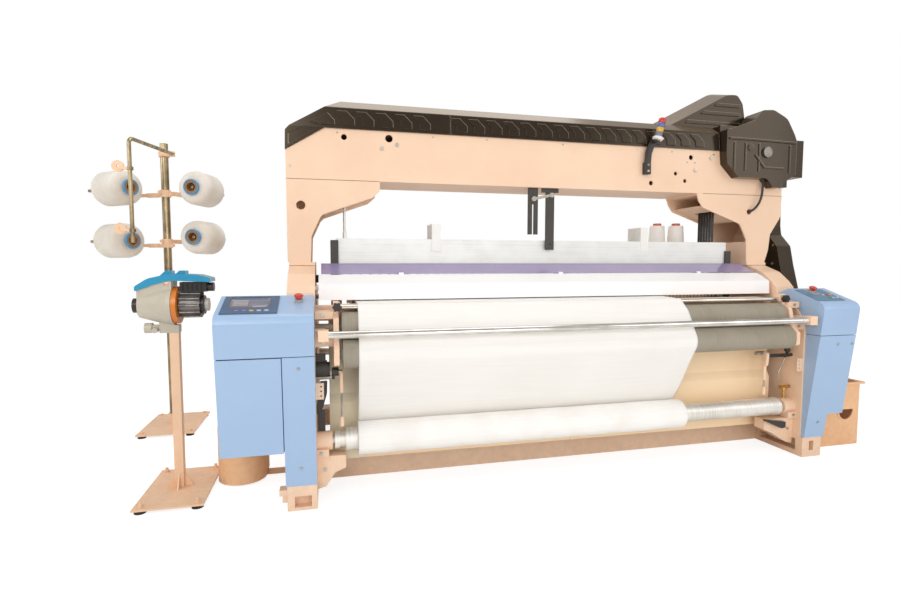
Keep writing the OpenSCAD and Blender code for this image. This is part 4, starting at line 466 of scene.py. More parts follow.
# Heald frames. Six pairs of drawn aluminium rails, joined by end struts, carry stamped steel healds
# on thin bars. White plastic ears on the top rails keep the frames apart, and rods lift them.
rail_aluminium = finish("rail_aluminium", worked_steel, 0.2, Colour=(236, 235, 230), Shade=(226, 224, 219),
                        Gloss=0.42, Stretch=(1.5, 160.0, 160.0), Lines=0.2)
for low, high in (((-720, 480, 1160), (-650, 650, 1330)), ((580, 480, 1160), (650, 650, 1330))):
    zones(rail_aluminium, (240, 238, 232), low, high)
zones(rail_aluminium, (50, 45, 41), (1096, 480, 1236), (1124, 650, 1570))
for number in range(1, 7):
    dress(rail_aluminium, "heald_frame_%d" % number)
guide_plastic = finish("guide_plastic", enamel_film, Colour=(66, 60, 54), Shade=(46, 42, 38), Scale=14.0,
                       Gloss=0.42, Peel=0.3, Dust=0.0)
zones(guide_plastic, (176, 168, 154), (-134, 455, 1450), (8, 470.5, 1512))
dress(guide_plastic, "frame_guides")

# Sley and reed. The sley is an aluminium extrusion on rocking swords, and the reed is a
# steel frame whose thin flat dents stand close together.
sley_aluminium = finish("sley_aluminium", worked_steel, 0.6, Colour=(205, 205, 200), Shade=(165, 164, 158),
                        Gloss=0.38, Stretch=(2.0, 140.0, 140.0), Lines=0.3)
reed_steel = finish("reed_steel", worked_steel, 0.85, Colour=(176, 172, 162), Shade=(130, 126, 118),
                    Gloss=0.32, Stretch=(400.0, 6.0, 3.0), Lines=0.6)
dress(sley_aluminium, "sley")
dress(reed_steel, "reed")

# Back rest, warp beam and the warp. The back rest is a ground steel roller. The beam is a steel barrel with
# pressed flanges, wound with white yarn, and the ends run side by side over the back rest to the healds.
ground_steel = finish("ground_steel", worked_steel, 1.0, Colour=(226, 222, 214), Shade=(184, 178, 168),
                      Gloss=0.2, Stretch=(1.0, 60.0, 60.0), Lines=0.08)
dress(ground_steel, "back_rest_roller")
yarn_lay, given, result = shader_group(
    "yarn_lay",
    [("Colour", COLOUR, (0.8, 0.8, 0.8, 1)), ("Shade", COLOUR, (0.7, 0.7, 0.7, 1)),
     ("Pitch", ARROW, (700.0, 3.0, 3.0)), ("Depth", NUMBER, 0.4), ("Position", ARROW, (0.0, 0.0, 0.0))],
    [("Colour", COLOUR), ("Roughness", NUMBER), ("Normal", ARROW)])
strands = node(yarn_lay, "ShaderNodeVectorMath", {0: given["Position"], 1: given["Pitch"]},
               operation="MULTIPLY")
ends = node(yarn_lay, "ShaderNodeTexNoise", {"Vector": strands.outputs[0], "Scale": 1.0, "Detail": 3.0})
drift = node(yarn_lay, "ShaderNodeTexNoise", {"Vector": given["Position"], "Scale": 6.0, "Detail": 4.0})
both = node(yarn_lay, "ShaderNodeMath", {0: ends.outputs["Fac"], 1: drift.outputs["Fac"]},
            operation="MULTIPLY")
patch = node(yarn_lay, "ShaderNodeMapRange", {"Value": both.outputs[0], "From Min": 0.12, "From Max": 0.34,
                                              "To Min": 1.0, "To Max": 0.0})
tone = node(yarn_lay, "ShaderNodeMix", {"Factor": patch.outputs["Result"], 6: given["Colour"],
                                        7: given["Shade"]}, data_type="RGBA")
rough = node(yarn_lay, "ShaderNodeMapRange", {"Value": ends.outputs["Fac"], "To Min": 0.62, "To Max": 0.9})
thread = node(yarn_lay, "ShaderNodeBump", {"Height": ends.outputs["Fac"], "Strength": given["Depth"],
                                           "Distance": 0.0008})
for label, socket in (("Colour", tone.outputs[2]), ("Roughness", rough.outputs["Result"]),
                      ("Normal", thread.outputs["Normal"])):
    yarn_lay.links.new(socket, result[label])


def yarn(name, colour, shade, pitch, depth, coordinates="Object"):
    material = finish(name, yarn_lay, Colour=colour, Shade=shade, Pitch=pitch, Depth=depth)
    tree = material.node_tree
    layer = next(n for n in tree.nodes if n.type == "GROUP")
    tree.links.new(node(tree, "ShaderNodeTexCoord").outputs[coordinates], layer.inputs["Position"])
    shader = tree.nodes["Principled BSDF"]
    shader.inputs["Sheen Weight"].default_value = 0.25
    shader.inputs["Specular IOR Level"].default_value = 0.25
    return material


flange_paint = finish("flange_paint", enamel_film, Colour=(196, 190, 180), Shade=(170, 163, 152), Scale=6.0,
                      Gloss=0.42, Peel=0.2, Dust=0.2)
beam_yarn = yarn("beam_yarn", (240, 236, 228), (218, 211, 199), (900.0, 4.0, 4.0), 0.5)
warp_yarn = yarn("warp_yarn", (240, 236, 228), (206, 198, 186), (900.0, 2.0, 2.0), 0.7)
beam = bmesh.new()
beam_axis, yarn_radius, spokes = Vector((1330.0, 500.0)), 280.0, 8
middle = at(0, beam_axis.x, beam_axis.y)
x_axis = Vector((1.0, 0.0, 0.0))
for side in (-1, 1):
    hub = along(middle, middle + x_axis * side)
    turned(beam, [(1.0802, 0.05), (1.0802, 0.337), (1.0815, 0.34), (1.0925, 0.34), (1.094, 0.337),
                  (1.094, 0.325), (1.0905, 0.318), (1.0905, 0.19), (1.094, 0.17), (1.094, 0.11),
                  (1.14, 0.108), (1.14, 0.04)], hub, 96, 0)
    turned(beam, [(1.0, 0.0), (1.0, 0.032), (1.379, 0.032), (1.381, 0.030), (1.381, 0.0)], hub, 40, 2)
    for spoke in range(spokes):
        spoke_place = hub @ Matrix.Rotation(spoke * 2 * math.pi / spokes, 4, "X")
        block(beam, Vector((1.0895, -0.009, 0.18)), Vector((1.094, 0.009, 0.322)), 0.0015, 0, spoke_place)
        turned(beam, [(1.093, 0), (1.093, 0.008), (1.1005, 0.0075), (1.1015, 0.006), (1.1015, 0)],
               spoke_place @ Matrix.Translation((0, 0, 0.14)), 12, 2)
turned(beam,
       [(-1.0795, 0.1), (-1.0795, 0.279), (-1.078, 0.28), (1.078, 0.28), (1.0795, 0.279), (1.0795, 0.1)],
       along(middle, middle + x_axis), 128, 1)
piece("yarn_beam", beam, [flange_paint, beam_yarn, ground_steel], "warp_beam", ["warp_beam"])

# Warp sheet. About five thousand ends of white yarn leave the top of the beam, turn over the back rest
# and run level to the healds, side by side like one fine sheet with a thin edge on each side.
def tangent(first, first_r, second, second_r, side):
    gap = second - first
    return math.atan2(gap.y, gap.x) + side * math.acos((first_r - second_r) / gap.length)


def turn(centre, radius, start, end, steps):
    angles = [start + (end - start) * i / steps for i in range(steps + 1)]
    return [centre + radius * Vector((math.cos(a), math.sin(a))) for a in angles]


def even(path, rows):
    spans = [(after - before).length for before, after in zip(path, path[1:])]
    points = []
    for row in range(rows + 1):
        left, i = sum(spans) * row / rows, 0
        while i < len(spans) - 1 and left > spans[i]:
            left -= spans[i]
            i += 1
        points.append(path[i].lerp(path[i + 1], min(left / spans[i], 1.0)))
    return points, sum(spans) / 1000.0


def web(name, path, columns, rows, left, right, relief, material, thick, body, instead):
    points, length = even(path, rows)
    grid = bmesh.new()
    flat = grid.loops.layers.uv.new("UVMap")
    bmesh.ops.create_grid(grid, x_segments=columns, y_segments=rows, size=0.5, calc_uvs=True)
    width = (right(0.0) - left(0.0)) / 1000.0
    for face in grid.faces:
        for loop in face.loops:
            loop[flat].uv = ((loop.vert.co.x + 0.5) * width, (loop.vert.co.y + 0.5) * length)
    for vert in grid.verts:
        u, v = vert.co.x + 0.5, vert.co.y + 0.5
        row = min(int(v * rows + 0.5), rows)
        x = left(v) + (right(v) - left(v)) * u
        vert.co = at(x, points[row].x, points[row].y) + relief(x, v, points[row])
    bmesh.ops.reverse_faces(grid, faces=grid.faces)
    mesh = bpy.data.meshes.new(name)
    grid.to_mesh(mesh)
    grid.free()
    mesh.shade_smooth()
    mesh.materials.append(material)
    made = bpy.data.objects.new(name, mesh)
    scene.collection.objects.link(made)
    body_of_cloth = made.modifiers.new("thickness", "SOLIDIFY")
    body_of_cloth.thickness = thick
    body_of_cloth.offset = 0.0
    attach(made, body)
    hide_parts(*instead)
    return made, width, length


rest_axis, rest_radius, lift = Vector((1200.0, 893.0)), 60.0, 1.05
last_heald, half_warp, on_the_beam = 640.0, 1068.0, math.radians(30.0)
over_rest, over_yarn = rest_radius + lift, yarn_radius + lift
leaves = tangent(rest_axis, over_rest, beam_axis, over_yarn, 1)
warp_path = ([Vector((last_heald, rest_axis.y + over_rest))]
             + turn(rest_axis, over_rest, math.pi / 2, leaves, 10)
             + turn(beam_axis, over_yarn, leaves, leaves - on_the_beam, 10))
warp, warp_width, warp_length = web("warp_ends", warp_path, 240, 60, lambda v: -half_warp,
                                    lambda v: half_warp, lambda x, v,
                                    p: Vector((0.0, 0.0, 0.0002 * math.sin(x * 0.7))), warp_yarn, 0.0012,
                                    "loom", ["warp_sheet"])

# Woven cloth. A plain-weave polyester web, 1.73 m wide, comes from the fell under the window flap over
# the guide bar, down the take-up and press rollers and on to the back of the roll, with a wavering
# selvedge on the right.
plain_weave, given, result = shader_group("plain_weave",
                                          [("Colour", COLOUR, (0.8, 0.8, 0.8, 1)),
                                           ("Shade", COLOUR, (0.7, 0.7, 0.7, 1)), ("Count", NUMBER, 900.0),
                                           ("Depth", NUMBER, 0.35)],
                                          [("Colour", COLOUR), ("Roughness", NUMBER), ("Normal", ARROW)])
flat = node(plain_weave, "ShaderNodeUVMap", uv_map="UVMap").outputs["UV"]
threads = node(plain_weave, "ShaderNodeVectorMath", {0: flat, "Scale": given["Count"]}, operation="SCALE")
parts = node(plain_weave, "ShaderNodeSeparateXYZ", {"Vector": threads.outputs[0]})
across = node(plain_weave, "ShaderNodeMath", {0: parts.outputs["X"]}, operation="SINE")
down = node(plain_weave, "ShaderNodeMath", {0: parts.outputs["Y"]}, operation="SINE")
crossing = node(plain_weave, "ShaderNodeMath", {0: across.outputs[0], 1: down.outputs[0]},
                operation="MULTIPLY")
slub_place = node(plain_weave, "ShaderNodeVectorMath", {0: flat, 1: (3.0, 60.0, 1.0)}, operation="MULTIPLY")
slubs = node(plain_weave, "ShaderNodeTexNoise",
             {"Vector": slub_place.outputs[0], "Scale": 1.0, "Detail": 4.0})
drift = node(plain_weave, "ShaderNodeTexNoise", {"Vector": flat, "Scale": 2.4, "Detail": 3.0})
both = node(plain_weave, "ShaderNodeMath", {0: slubs.outputs["Fac"], 1: drift.outputs["Fac"]},
            operation="ADD")
patch = node(plain_weave, "ShaderNodeMapRange",
             {"Value": both.outputs[0], "From Min": 0.75, "From Max": 1.25, "To Max": 0.7})
tone = node(plain_weave, "ShaderNodeMix", {"Factor": patch.outputs["Result"], 6: given["Colour"],
                                           7: given["Shade"]}, data_type="RGBA")
weave = node(plain_weave, "ShaderNodeMath", {0: crossing.outputs[0], 1: slubs.outputs["Fac"]},
             operation="ADD")
bumps = node(plain_weave, "ShaderNodeBump", {"Height": weave.outputs[0], "Strength": given["Depth"],
                                             "Distance": 0.0004})
rough = node(plain_weave, "ShaderNodeMapRange",
             {"Value": slubs.outputs["Fac"], "To Min": 0.6, "To Max": 0.88})
for label, socket in (("Colour", tone.outputs[2]), ("Roughness", rough.outputs["Result"]),
                      ("Normal", bumps.outputs["Normal"])):
    plain_weave.links.new(socket, result[label])
woven_white = finish("woven_white", plain_weave, Colour=(243, 240, 235), Shade=(237, 233, 226),
                     Count=1800.0, Depth=0.3)
woven_white.node_tree.nodes["Principled BSDF"].inputs["Sheen Weight"].default_value = 0.3

guide_axis, take_up_axis = Vector((100.0, 899.0)), Vector((94.0, 806.0))
press_axis, roll_axis = Vector((17.92, 692.79)), Vector((100.0, 278.0))
fell, roll_radius, cloth_lift, round_turn = Vector((300.0, 915.3)), 77.0, 1.3, 2 * math.pi
guide_r, take_up_r, press_r, roll_r = [r + cloth_lift for r in (11.0, 72.0, 64.0, roll_radius)]
first = round_turn + tangent(guide_axis, guide_r, take_up_axis, take_up_r, -1)
second = round_turn + tangent(take_up_axis, take_up_r, press_axis, press_r, -1)
third = round_turn + tangent(press_axis, press_r, roll_axis, -roll_r, -1)
cloth_path = ([fell] + turn(guide_axis, guide_r, math.pi / 2, first, 8)
              + turn(take_up_axis, take_up_r, first, second, 6)
              + turn(press_axis, press_r, second, third, 10)
              + turn(roll_axis, -roll_r, third, third - math.radians(30.0), 8))
selvedge = [(0.0, 590.0), (0.2, 583.0), (0.33, 588.0), (0.45, 586.0), (0.55, 584.0), (0.66, 588.0),
            (0.8, 590.0), (0.9, 592.0), (1.0, 594.0)]


def selvedge_at(v):
    for (low, x0), (high, x1) in zip(selvedge, selvedge[1:]):
        if v <= high:
            t = (v - low) / (high - low)
            return x0 + (x1 - x0) * t * t * (3 - 2 * t)
    return selvedge[-1][1]


def slack(x, v, point):
    free = max(0.0, min(1.0, (680.0 - point.y) / 90.0)) * max(0.0, min(1.0, (point.y - 330.0) / 80.0))
    ripple = (math.sin(x * 0.011 + 1.3 * math.sin(point.y * 0.006)) * 1.4 + math.sin(x * 0.027 + 2.0) * 0.6
              + 2.6 * noise.noise(Vector((x * 0.003, point.y * 0.004, 0.7))))
    edge = max(0.0, 1.0 - (selvedge_at(v) - x) / 60.0)
    curl = 5.0 * edge * edge * (0.6 + 0.4 * math.sin(point.y * 0.03)) * free
    return Vector((0.0, -(ripple * free * 1.3 + curl) / 1000.0, 0.0))


cloth_web, cloth_width, cloth_length = web(
    "woven_cloth", cloth_path, 190, 150, lambda v: -1144.0 + 2.0 * math.sin(v * 9.0), selvedge_at, slack,
    woven_white, 0.0016, "loom", ["cloth"])

# Cloth roll. The same cloth is wound on the aluminium roller turn upon turn, and its edges wander a little
# from one turn to the next, so that they show as fine rings at both ends.
wound_cloth = yarn("wound_cloth", (249, 246, 242), (240, 235, 228), (1.2, 500.0, 500.0), 0.3)
random.seed(4)
roll_axle = at(0.0, roll_axis.x, roll_axis.y)
roll = bmesh.new()
core_radius, turns, waves = 49.3, 26, 22
layers = [core_radius + (roll_radius - core_radius) * i / turns for i in range(turns + 1)]
left_face = [(-1.144 + random.uniform(-0.003, 0.0015), r / 1000.0) for r in layers]
right_face = [(0.594 + random.uniform(-0.0015, 0.004), r / 1000.0) for r in layers]
body_line = [(-1.1 + 1.65 * i / waves, roll_radius / 1000.0 + 0.0006 * math.sin(i * 1.7))
             for i in range(waves + 1)]
turned(roll, left_face + body_line + right_face[::-1] + [left_face[0]],
       along(roll_axle, roll_axle + x_axis), 112)
piece("cloth_on_roller", roll, [wound_cloth], "cloth_roller", ["cloth_roll"], 50)

# Breast beam and the panels below it. The beam is the frame's peach box section; the folded panels that
# close the loom behind the cloth are zinc-coated sheet in a dull khaki primer, painted lighter than that
# primer as painted fill light in the shaded interior.
breast_enamel = frame_enamel("breast_enamel")
# Both panel zones are the khaki primer colour brightened as painted fill light where the interior lies in
# shade.
zones(breast_enamel, (232, 218, 188), (-1340, 180, 140), (-1100, 215, 829))
zones(breast_enamel, (252, 222, 182), (-1100, 180, 140), (1340, 215, 829))
dress(breast_enamel, "breast_beam")

# Rollers, rails and their ends. The take-up and press rollers wear a ribbed rubber sleeve, the cloth
# roller is drawn aluminium with cast end collars, and the handrail and guide bar are ground and
# polished steel.
sleeve_rubber = finish("sleeve_rubber", worked_steel, 0.0, Colour=(158, 149, 132), Shade=(148, 139, 122),
                       Gloss=0.62, Stretch=(260.0, 12.0, 12.0), Lines=0.3)
rolled_aluminium = finish("rolled_aluminium", worked_steel, 0.5, Colour=(242, 239, 231),
                          Shade=(222, 217, 207), Gloss=0.38, Stretch=(120.0, 8.0, 8.0), Lines=0.12)
polished_rail = finish("polished_rail", worked_steel, 1.0, Colour=(236, 232, 226), Shade=(205, 200, 192),
                       Gloss=0.14, Stretch=(1.0, 50.0, 50.0), Lines=0.05)
dress(sleeve_rubber, "take_up_roller", "press_roller")
dress(rolled_aluminium, "cloth_roller")
dress(polished_rail, "front_rails")

# Press linkage, knobs and handles. Steel link rods in cream-painted ends press the roller to the cloth;
# a turned brass T-handle locks the cloth roller, and moulded black knobs hold the sliding blocks.
linkage_steel = finish("linkage_steel", worked_steel, 0.85, Colour=(196, 190, 178), Shade=(140, 133, 122),
                       Gloss=0.3, Stretch=(60.0, 60.0, 6.0), Lines=0.25)
cream = (243, 209, 180)
for low, high in (((-1232, 80, 500), (-1208, 112, 600)), ((-1232, 80, 340), (-1208, 112, 388)),
                  ((1138, 60, 434), (1162, 140, 610)), ((1138, 80, 350), (1162, 112, 398)),
                  ((1290, 20, 480), (1336, 30, 570)), ((-1336, 20, 480), (-1290, 30, 570))):
    zones(linkage_steel, cream, low, high)
for low, high in (((1159, 60, 560), (1336, 130, 625)), ((1120, 40, 155), (1270, 72, 220)),
                  ((-1264, 60, 560), (-1233, 130, 625)), ((-1336, 98, 300), (-1283, 120, 560))):
    zones(linkage_steel, (52, 47, 43), low, high)
turned_brass = finish("turned_brass", worked_steel, 1.0, Colour=(222, 184, 104), Shade=(170, 132, 66),
                      Gloss=0.26, Stretch=(90.0, 90.0, 200.0), Lines=0.2)
knob_plastic = finish("knob_plastic", enamel_film, Colour=(48, 43, 40), Shade=(34, 30, 28), Scale=30.0,
                      Gloss=0.38, Peel=0.25, Dust=0.0)
dress(linkage_steel, "press_linkage")
dress(turned_brass, "t_handle")
dress(knob_plastic, "star_knob_left", "star_knob_right")

# Drive motors and water pump. The motors have cast housings sprayed black, and the plunger pump that feeds
# the jets is bare cast aluminium. They are fixed to the side frames.
motor_black = finish("motor_black", enamel_film, Colour=(60, 55, 50), Shade=(42, 38, 35), Scale=16.0,
                     Gloss=0.46, Peel=0.55, Dust=0.4)
pump_metal = finish("pump_metal", worked_steel, 0.6, Colour=(180, 174, 162), Shade=(138, 131, 120),
                    Gloss=0.42, Stretch=(22.0, 22.0, 22.0), Lines=0.4)
dress(motor_black, "drive_motors")
dress(pump_metal, "water_pump")

# Splash cover and window flap. White-painted steel sheet, bent in two long folds, keeps the water
# jets in. On its top edge hangs a strip of violet-tinted acrylic that lifts on knuckle hinges.
white_enamel = finish("white_enamel", enamel_film, Colour=(253, 253, 253), Shade=(246, 246, 247), Scale=2.5,
                      Gloss=0.3, Peel=0.12, Dust=0.0)
dress(white_enamel, "splash_cover")
tinted_acrylic = finish("tinted_acrylic", enamel_film, coat=0.5, Colour=(172, 158, 198),
                        Shade=(140, 126, 172), Scale=1.4, Gloss=0.12, Peel=0.03, Dust=0.0)
window = tinted_acrylic.node_tree.nodes["Principled BSDF"]
window.inputs["Alpha"].default_value = 0.86
window.inputs["Coat Roughness"].default_value = 0.08
dress(tinted_acrylic, "window_flap")

# Blue boxes. The control hood, cabinet with its door, column cover and the right covers are folded
# steel sheet, powder coated in a soft blue with a faint orange-peel skin and rolled edges.
blue_enamel = finish("blue_enamel", enamel_film, coat=0.3, Colour=(162, 189, 220), Shade=(153, 180, 213),
                     Scale=1.8, Gloss=0.32, Peel=0.25, Dust=0.1)
blue_enamel.node_tree.nodes["Principled BSDF"].inputs["Coat Roughness"].default_value = 0.1
dress(blue_enamel, "left_hood", "cabinet_box", "cabinet_door", "column_cover", "right_hood", "right_cover")
knock_out = bmesh.new()
turned(knock_out,
       [(-0.0008, 0.0345), (0.0003, 0.0345), (0.0003, 0.0362), (-0.0008, 0.0362), (-0.0008, 0.0345)],
       along(at(-1405, 17.6, 588), at(-1405, 16.6, 588.04)), 64)
knock_out_line = finish("knock_out_line", enamel_film, Colour=(66, 72, 112), Shade=(52, 58, 92), Scale=30.0,
                        Gloss=0.5, Peel=0.2, Dust=0.0)
piece("knock_out", knock_out, [knock_out_line], "loom", ())

# Control panels. The left one is a dark blue moulded bezel round a glass screen, with five soft keys in
# pockets below it; the right one is a teal keypad with six domed push buttons.
bezel_plastic = finish("bezel_plastic", enamel_film, Colour=(74, 98, 128), Shade=(60, 82, 110), Scale=12.0,
                       Gloss=0.42, Peel=0.35, Dust=0.0)
zones(bezel_plastic, (98, 132, 158), (1300, -160, 700), (1600, 130, 1000))
zones(bezel_plastic, (168, 164, 158), (-1430, 30, 850), (-1374, 100, 1000))
zones(bezel_plastic, (168, 164, 158), (1409, 40, 850), (1465, 112, 1000))
dress(bezel_plastic, "control_panels")
slope = math.radians(19.0)


def desk(x, y):
    return (Matrix.Translation(at(x, y, 878 + (y + 90) * math.tan(slope)))
            @ Matrix.Rotation(slope, 4, "X"))


screen_glass = finish("screen_glass", haze_film, coat=0.6, Colour=(104, 96, 100), Shade=(132, 118, 116),
                      Scale=18.0, Gloss=0.06)
screen = bmesh.new()
on_desk = desk(-1600.5, 33)
block(screen, Vector((-0.0855, -0.0295, 0.0032)), Vector((0.0775, 0.0775, 0.0042)), 0.0004, 0, on_desk)
block(screen, Vector((-0.074, 0.058, 0.0042)), Vector((0.066, 0.070, 0.0046)), 0.0, 1, on_desk)
for row in range(4):
    block(screen, Vector((-0.074, 0.037 - 0.016 * row, 0.0042)),
          Vector((-0.012, 0.048 - 0.016 * row, 0.0046)), 0.0, 2, on_desk)
    block(screen, Vector((-0.004, 0.037 - 0.016 * row, 0.0042)),
          Vector((0.066, 0.048 - 0.016 * row, 0.0046)), 0.0, 3, on_desk)
fields = [screen_glass]
for name, colour, shade in (("screen_bar", (88, 104, 140), (72, 86, 120)),
                            ("screen_field", (168, 166, 170), (150, 146, 152)),
                            ("screen_row", (122, 128, 146), (108, 112, 130))):
    fields.append(finish(name, enamel_film, Colour=colour, Shade=shade, Scale=60.0,
                         Gloss=0.14, Peel=0.02, Dust=0.0))
piece("screen", screen, fields, "loom", ())
key_finishes = []
for name, colour in (("violet_key", (148, 116, 172)), ("amber_key", (224, 176, 84)),
                     ("grey_key", (196, 196, 198)), ("red_key", (196, 70, 60)),
                     ("green_key", (86, 142, 104))):
    key_finishes.append(finish(name, enamel_film, Colour=colour,
                               Shade=[v * 0.86 for v in colour], Scale=70.0, Gloss=0.4, Peel=0.3,
                               Dust=0.0))
keys = bmesh.new()
for number, colour in enumerate((0, 0, 1, 2, 2)):
    block(keys, Vector((-0.059 + 0.030 * number, -0.073, 0.0042)),
          Vector((-0.041 + 0.030 * number, -0.061, 0.0068)), 0.0009, colour, on_desk)
on_desk = desk(1445, 32)
button_finishes = (4, 2, 2, 3, 2, 1)
for column in range(3):
    for row in range(2):
        centre = Vector((0.020 + 0.026 * column - 0.004 * row, -0.044 + 0.040 * row, 0.0032))
        turned(keys, [(0, 0), (0, 0.0083), (0.0028, 0.0083), (0.0042, 0.0066), (0.0046, 0.0)],
               on_desk @ Matrix.Translation(centre) @ Matrix.Rotation(-math.pi / 2, 4, "Y"), 24,
               button_finishes[column * 2 + row])
piece("keys", keys, key_finishes, "loom", ())

# Stop buttons. Each is a moulded red mushroom head on a short stem, seated in a grey collar on the sloping
# top of its hood, and it is pushed down to stop the loom.
button_red = lens("button_red", (206, 52, 42), (176, 38, 32))
dress(button_red, "stop_button_left", "stop_button_right")

# Waste tub and waste bin. Both are spot-welded steel sheet, sprayed in a deeper peach than the frame and
# scuffed by use. They stand loose on the floor at the loom's two ends.
tub_enamel = finish("tub_enamel", enamel_film, Colour=(244, 194, 148), Shade=(226, 172, 126), Scale=6.0,
                    Gloss=0.46, Peel=0.35, Dust=0.4)
dress(tub_enamel, "waste_tub", "waste_bin")

# Creel. A plated steel post on a welded foot plate, with painted clamp arms that hold the packages and a
# bent guide rod with eyelet discs.
creel_enamel = finish("creel_enamel", enamel_film, Colour=(246, 206, 170), Shade=(230, 184, 146), Scale=5.0,
                      Gloss=0.42, Peel=0.3, Dust=0.3)
plated_post = finish("plated_post", worked_steel, 0.8, Colour=(196, 176, 140), Shade=(132, 114, 84),
                     Gloss=0.28, Stretch=(80.0, 80.0, 1.5), Lines=0.15)
for low, high in (((-2480, 900, 1250), (-2365.5, 1100, 1330)), ((-2480, 900, 1600), (-2365.5, 1100, 1680))):
    zones(plated_post, (246, 206, 170), low, high)
dress(creel_enamel, "creel_base", "feeder_stand")
dress(plated_post, "creel_post", "creel_guide_rod")
foot_top = 15.8
for low, high in (((-2480, 1180), (-2100, 1280)), ((-2480, 1620), (-2100, 1700)),
                  ((-2150, 100), (-1800, 600))):
    zones(creel_enamel, (46, 42, 40), (*low, -1), (*high, foot_top))

# Weft packages. Each is a cross-wound cheese of fine white filament on a brown paper tube, held on its
# peg by a blue moulded chuck. Two small bobbins of catch cord stand on the shelf behind the frames.
cross_wound = yarn("cross_wound", (240, 233, 222), (214, 204, 188), (300.0, 300.0, 300.0), 0.6)
cord_wound = yarn("cord_wound", (252, 249, 244), (240, 234, 226), (60.0, 60.0, 900.0), 0.5)
card_tube = finish("card_tube", enamel_film, Colour=(160, 118, 78), Shade=(120, 86, 54), Scale=60.0,
                   Gloss=0.7, Peel=0.3, Dust=0.0)
chuck_blue = finish("chuck_blue", enamel_film, Colour=(86, 152, 196), Shade=(66, 128, 172), Scale=50.0,
                    Gloss=0.35, Peel=0.1, Dust=0.0)
cap_red = finish("cap_red", enamel_film, Colour=(206, 104, 88), Shade=(180, 80, 66), Scale=50.0, Gloss=0.4,
                 Peel=0.1, Dust=0.0)
packages = bmesh.new()
winds = [(0.066 + 0.0022 * wind, 0.1076 + 0.0006 * (wind % 2)) for wind in range(70)]
pegs = ((-2450, 1300, 1245, 142), (-2450, 1300, 1575, 142), (-2113, 1310, 1272, 73),
        (-2113, 1310, 1590, 73))
for x, y, z, heading in pegs:
    axle = Matrix.Translation(at(x, y, z)) @ Matrix.Rotation(math.radians(heading), 4, "Z")
    turned(packages, [(0.0225, 0.0405), (0.022, 0.060), (0.0235, 0.076), (0.031, 0.0925), (0.045, 0.1035)]
           + winds + [(0.222, 0.106), (0.236, 0.1005), (0.246, 0.091), (0.2495, 0.078), (0.2495, 0.0405),
                      (0.0225, 0.0405)], axle, 80, 0)
    turned(packages,
           [(0.0005, 0.0275), (0.0, 0.0285), (0.0, 0.0395), (0.0008, 0.0402), (0.261, 0.0402),
            (0.262, 0.0392), (0.262, 0.012), (0.04, 0.012), (0.04, 0.0272), (0.0005, 0.0275)], axle, 48, 1)
    turned(packages,
           [(0.0015, 0.0402), (-0.0015, 0.0415), (-0.003, 0.046), (0.001, 0.0505), (0.0095, 0.0505),
            (0.0125, 0.0455), (0.0125, 0.0402)], axle, 48, 2)
    turned(packages, [(0.0395, 0.0), (0.0395, 0.0102), (0.418, 0.0102), (0.42, 0.0082), (0.42, 0.0)], axle,
           24, 3)
    turned(packages, [(0.018, 0.0), (0.018, 0.008), (0.021, 0.0102), (0.0395, 0.0102)], axle, 24, 3)
bobbin_foot = 1240
for x, y in ((872, 730), (992, 700)):
    stand = Matrix.Translation(at(x, y, bobbin_foot)) @ Matrix.Rotation(-math.pi / 2, 4, "Y")
    turned(packages,
           [(0.0, 0.024), (0.0, 0.049), (0.003, 0.052), (0.03, 0.0515), (0.06, 0.0495), (0.09, 0.0475),
            (0.106, 0.046), (0.110, 0.043), (0.110, 0.024), (0.0, 0.024)], stand, 56, 6)
    turned(packages,
           [(0.0, 0.0), (0.0, 0.024), (0.1105, 0.024), (0.111, 0.0262), (0.124, 0.0262), (0.126, 0.0245),
            (0.126, 0.0)], stand, 40, 4)
    turned(packages, [(-0.166, 0.0), (-0.166, 0.0081), (0.001, 0.0081)], stand, 24, 3)
block(packages, at(820, 690, 1062), at(1335, 770, 1074), 0.002, 5)
piece("yarn_cheeses", packages,
      [cross_wound, card_tube, chuck_blue, plated_post, cap_red, peach_enamel, cord_wound], "loom",
      ["yarn_packages"], 40)

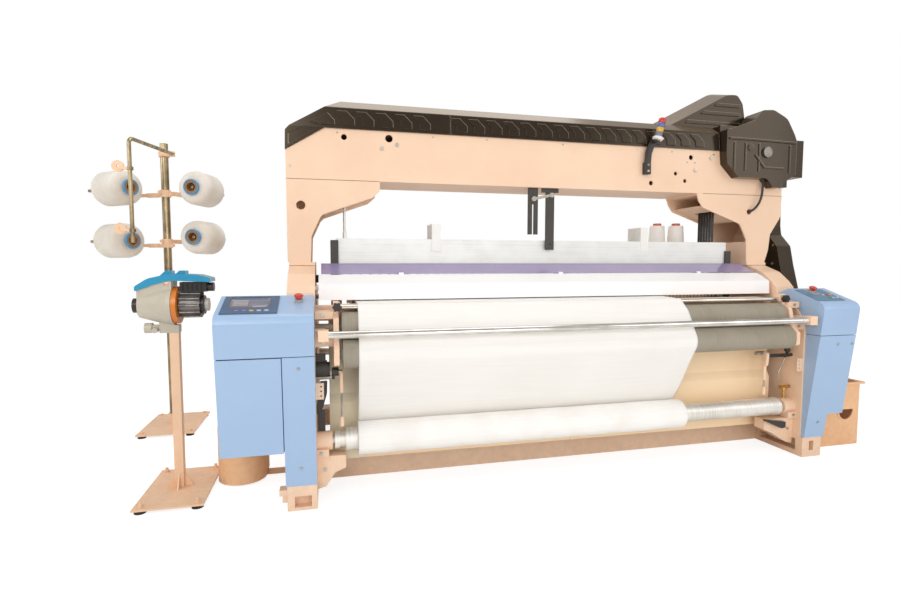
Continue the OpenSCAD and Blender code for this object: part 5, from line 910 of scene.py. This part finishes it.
# Weft feeder. An electronic drum feeder: a die-cast motor housing, a glossy cyan guard with
# cooling fins, a slotted storage drum and an orange-rimmed winding ring, clamped on a square painted post.
cast_grey = finish("cast_grey", enamel_film, Colour=(200, 190, 172), Shade=(178, 168, 150), Scale=9.0,
                   Gloss=0.32, Peel=0.3, Dust=0.0)
zones(cast_grey, (48, 40, 36), (-2160, 300, 860), (-2129, 400, 950))
guard_cyan = finish("guard_cyan", enamel_film, coat=0.5, Colour=(40, 152, 190), Shade=(26, 128, 166),
                    Scale=8.0, Gloss=0.2, Peel=0.08, Dust=0.0)
drum_dark = finish("drum_dark", worked_steel, 0.5, Colour=(128, 122, 118), Shade=(62, 58, 56), Gloss=0.28,
                   Stretch=(12.0, 140.0, 140.0), Lines=0.3)
zones(drum_dark, (44, 40, 38), (-1955, 280, 966.5), (-1800, 420, 1016))
zones(drum_dark, (40, 36, 34), (-1863, 280, 840), (-1847, 420, 966))
zones(drum_dark, (196, 188, 176), (-1846.5, 310, 860), (-1825, 390, 950))
ring_orange = finish("ring_orange", enamel_film, Colour=(226, 132, 48), Shade=(200, 108, 34), Scale=16.0,
                     Gloss=0.26, Peel=0.1, Dust=0.0)
dress(cast_grey, "feeder_housing")
dress(guard_cyan, "feeder_cover")
dress(drum_dark, "feeder_drum")
dress(ring_orange, "winding_ring")
indicator = bmesh.new()
block(indicator, at(-2016, 297.7, 993.5), at(-1986, 302, 1014.5), 0.002, 0)
block(indicator, at(-2010.5, 296.6, 998.5), at(-1991.5, 299, 1009.5), 0.001, 1)
wire_circle = 63.5
for angle in [math.radians(degrees) for degrees in (-60, -30, 0, 30, 60)]:
    across, up = wire_circle * math.sin(angle), wire_circle * math.cos(angle)
    turned(indicator, [(0.0, 0.0), (0.0, 0.0016), (0.088, 0.0016), (0.088, 0.0)],
           along(at(-1951, 350 - up, 905 + across), at(-1862, 350 - up, 905 + across)), 12, 2)
piece("feeder_fittings", indicator,
      [zinc_screws, lens("amber_lens", (238, 166, 122), (214, 128, 84)), linkage_steel], "loom", ())
bpy.context.view_layer.update()
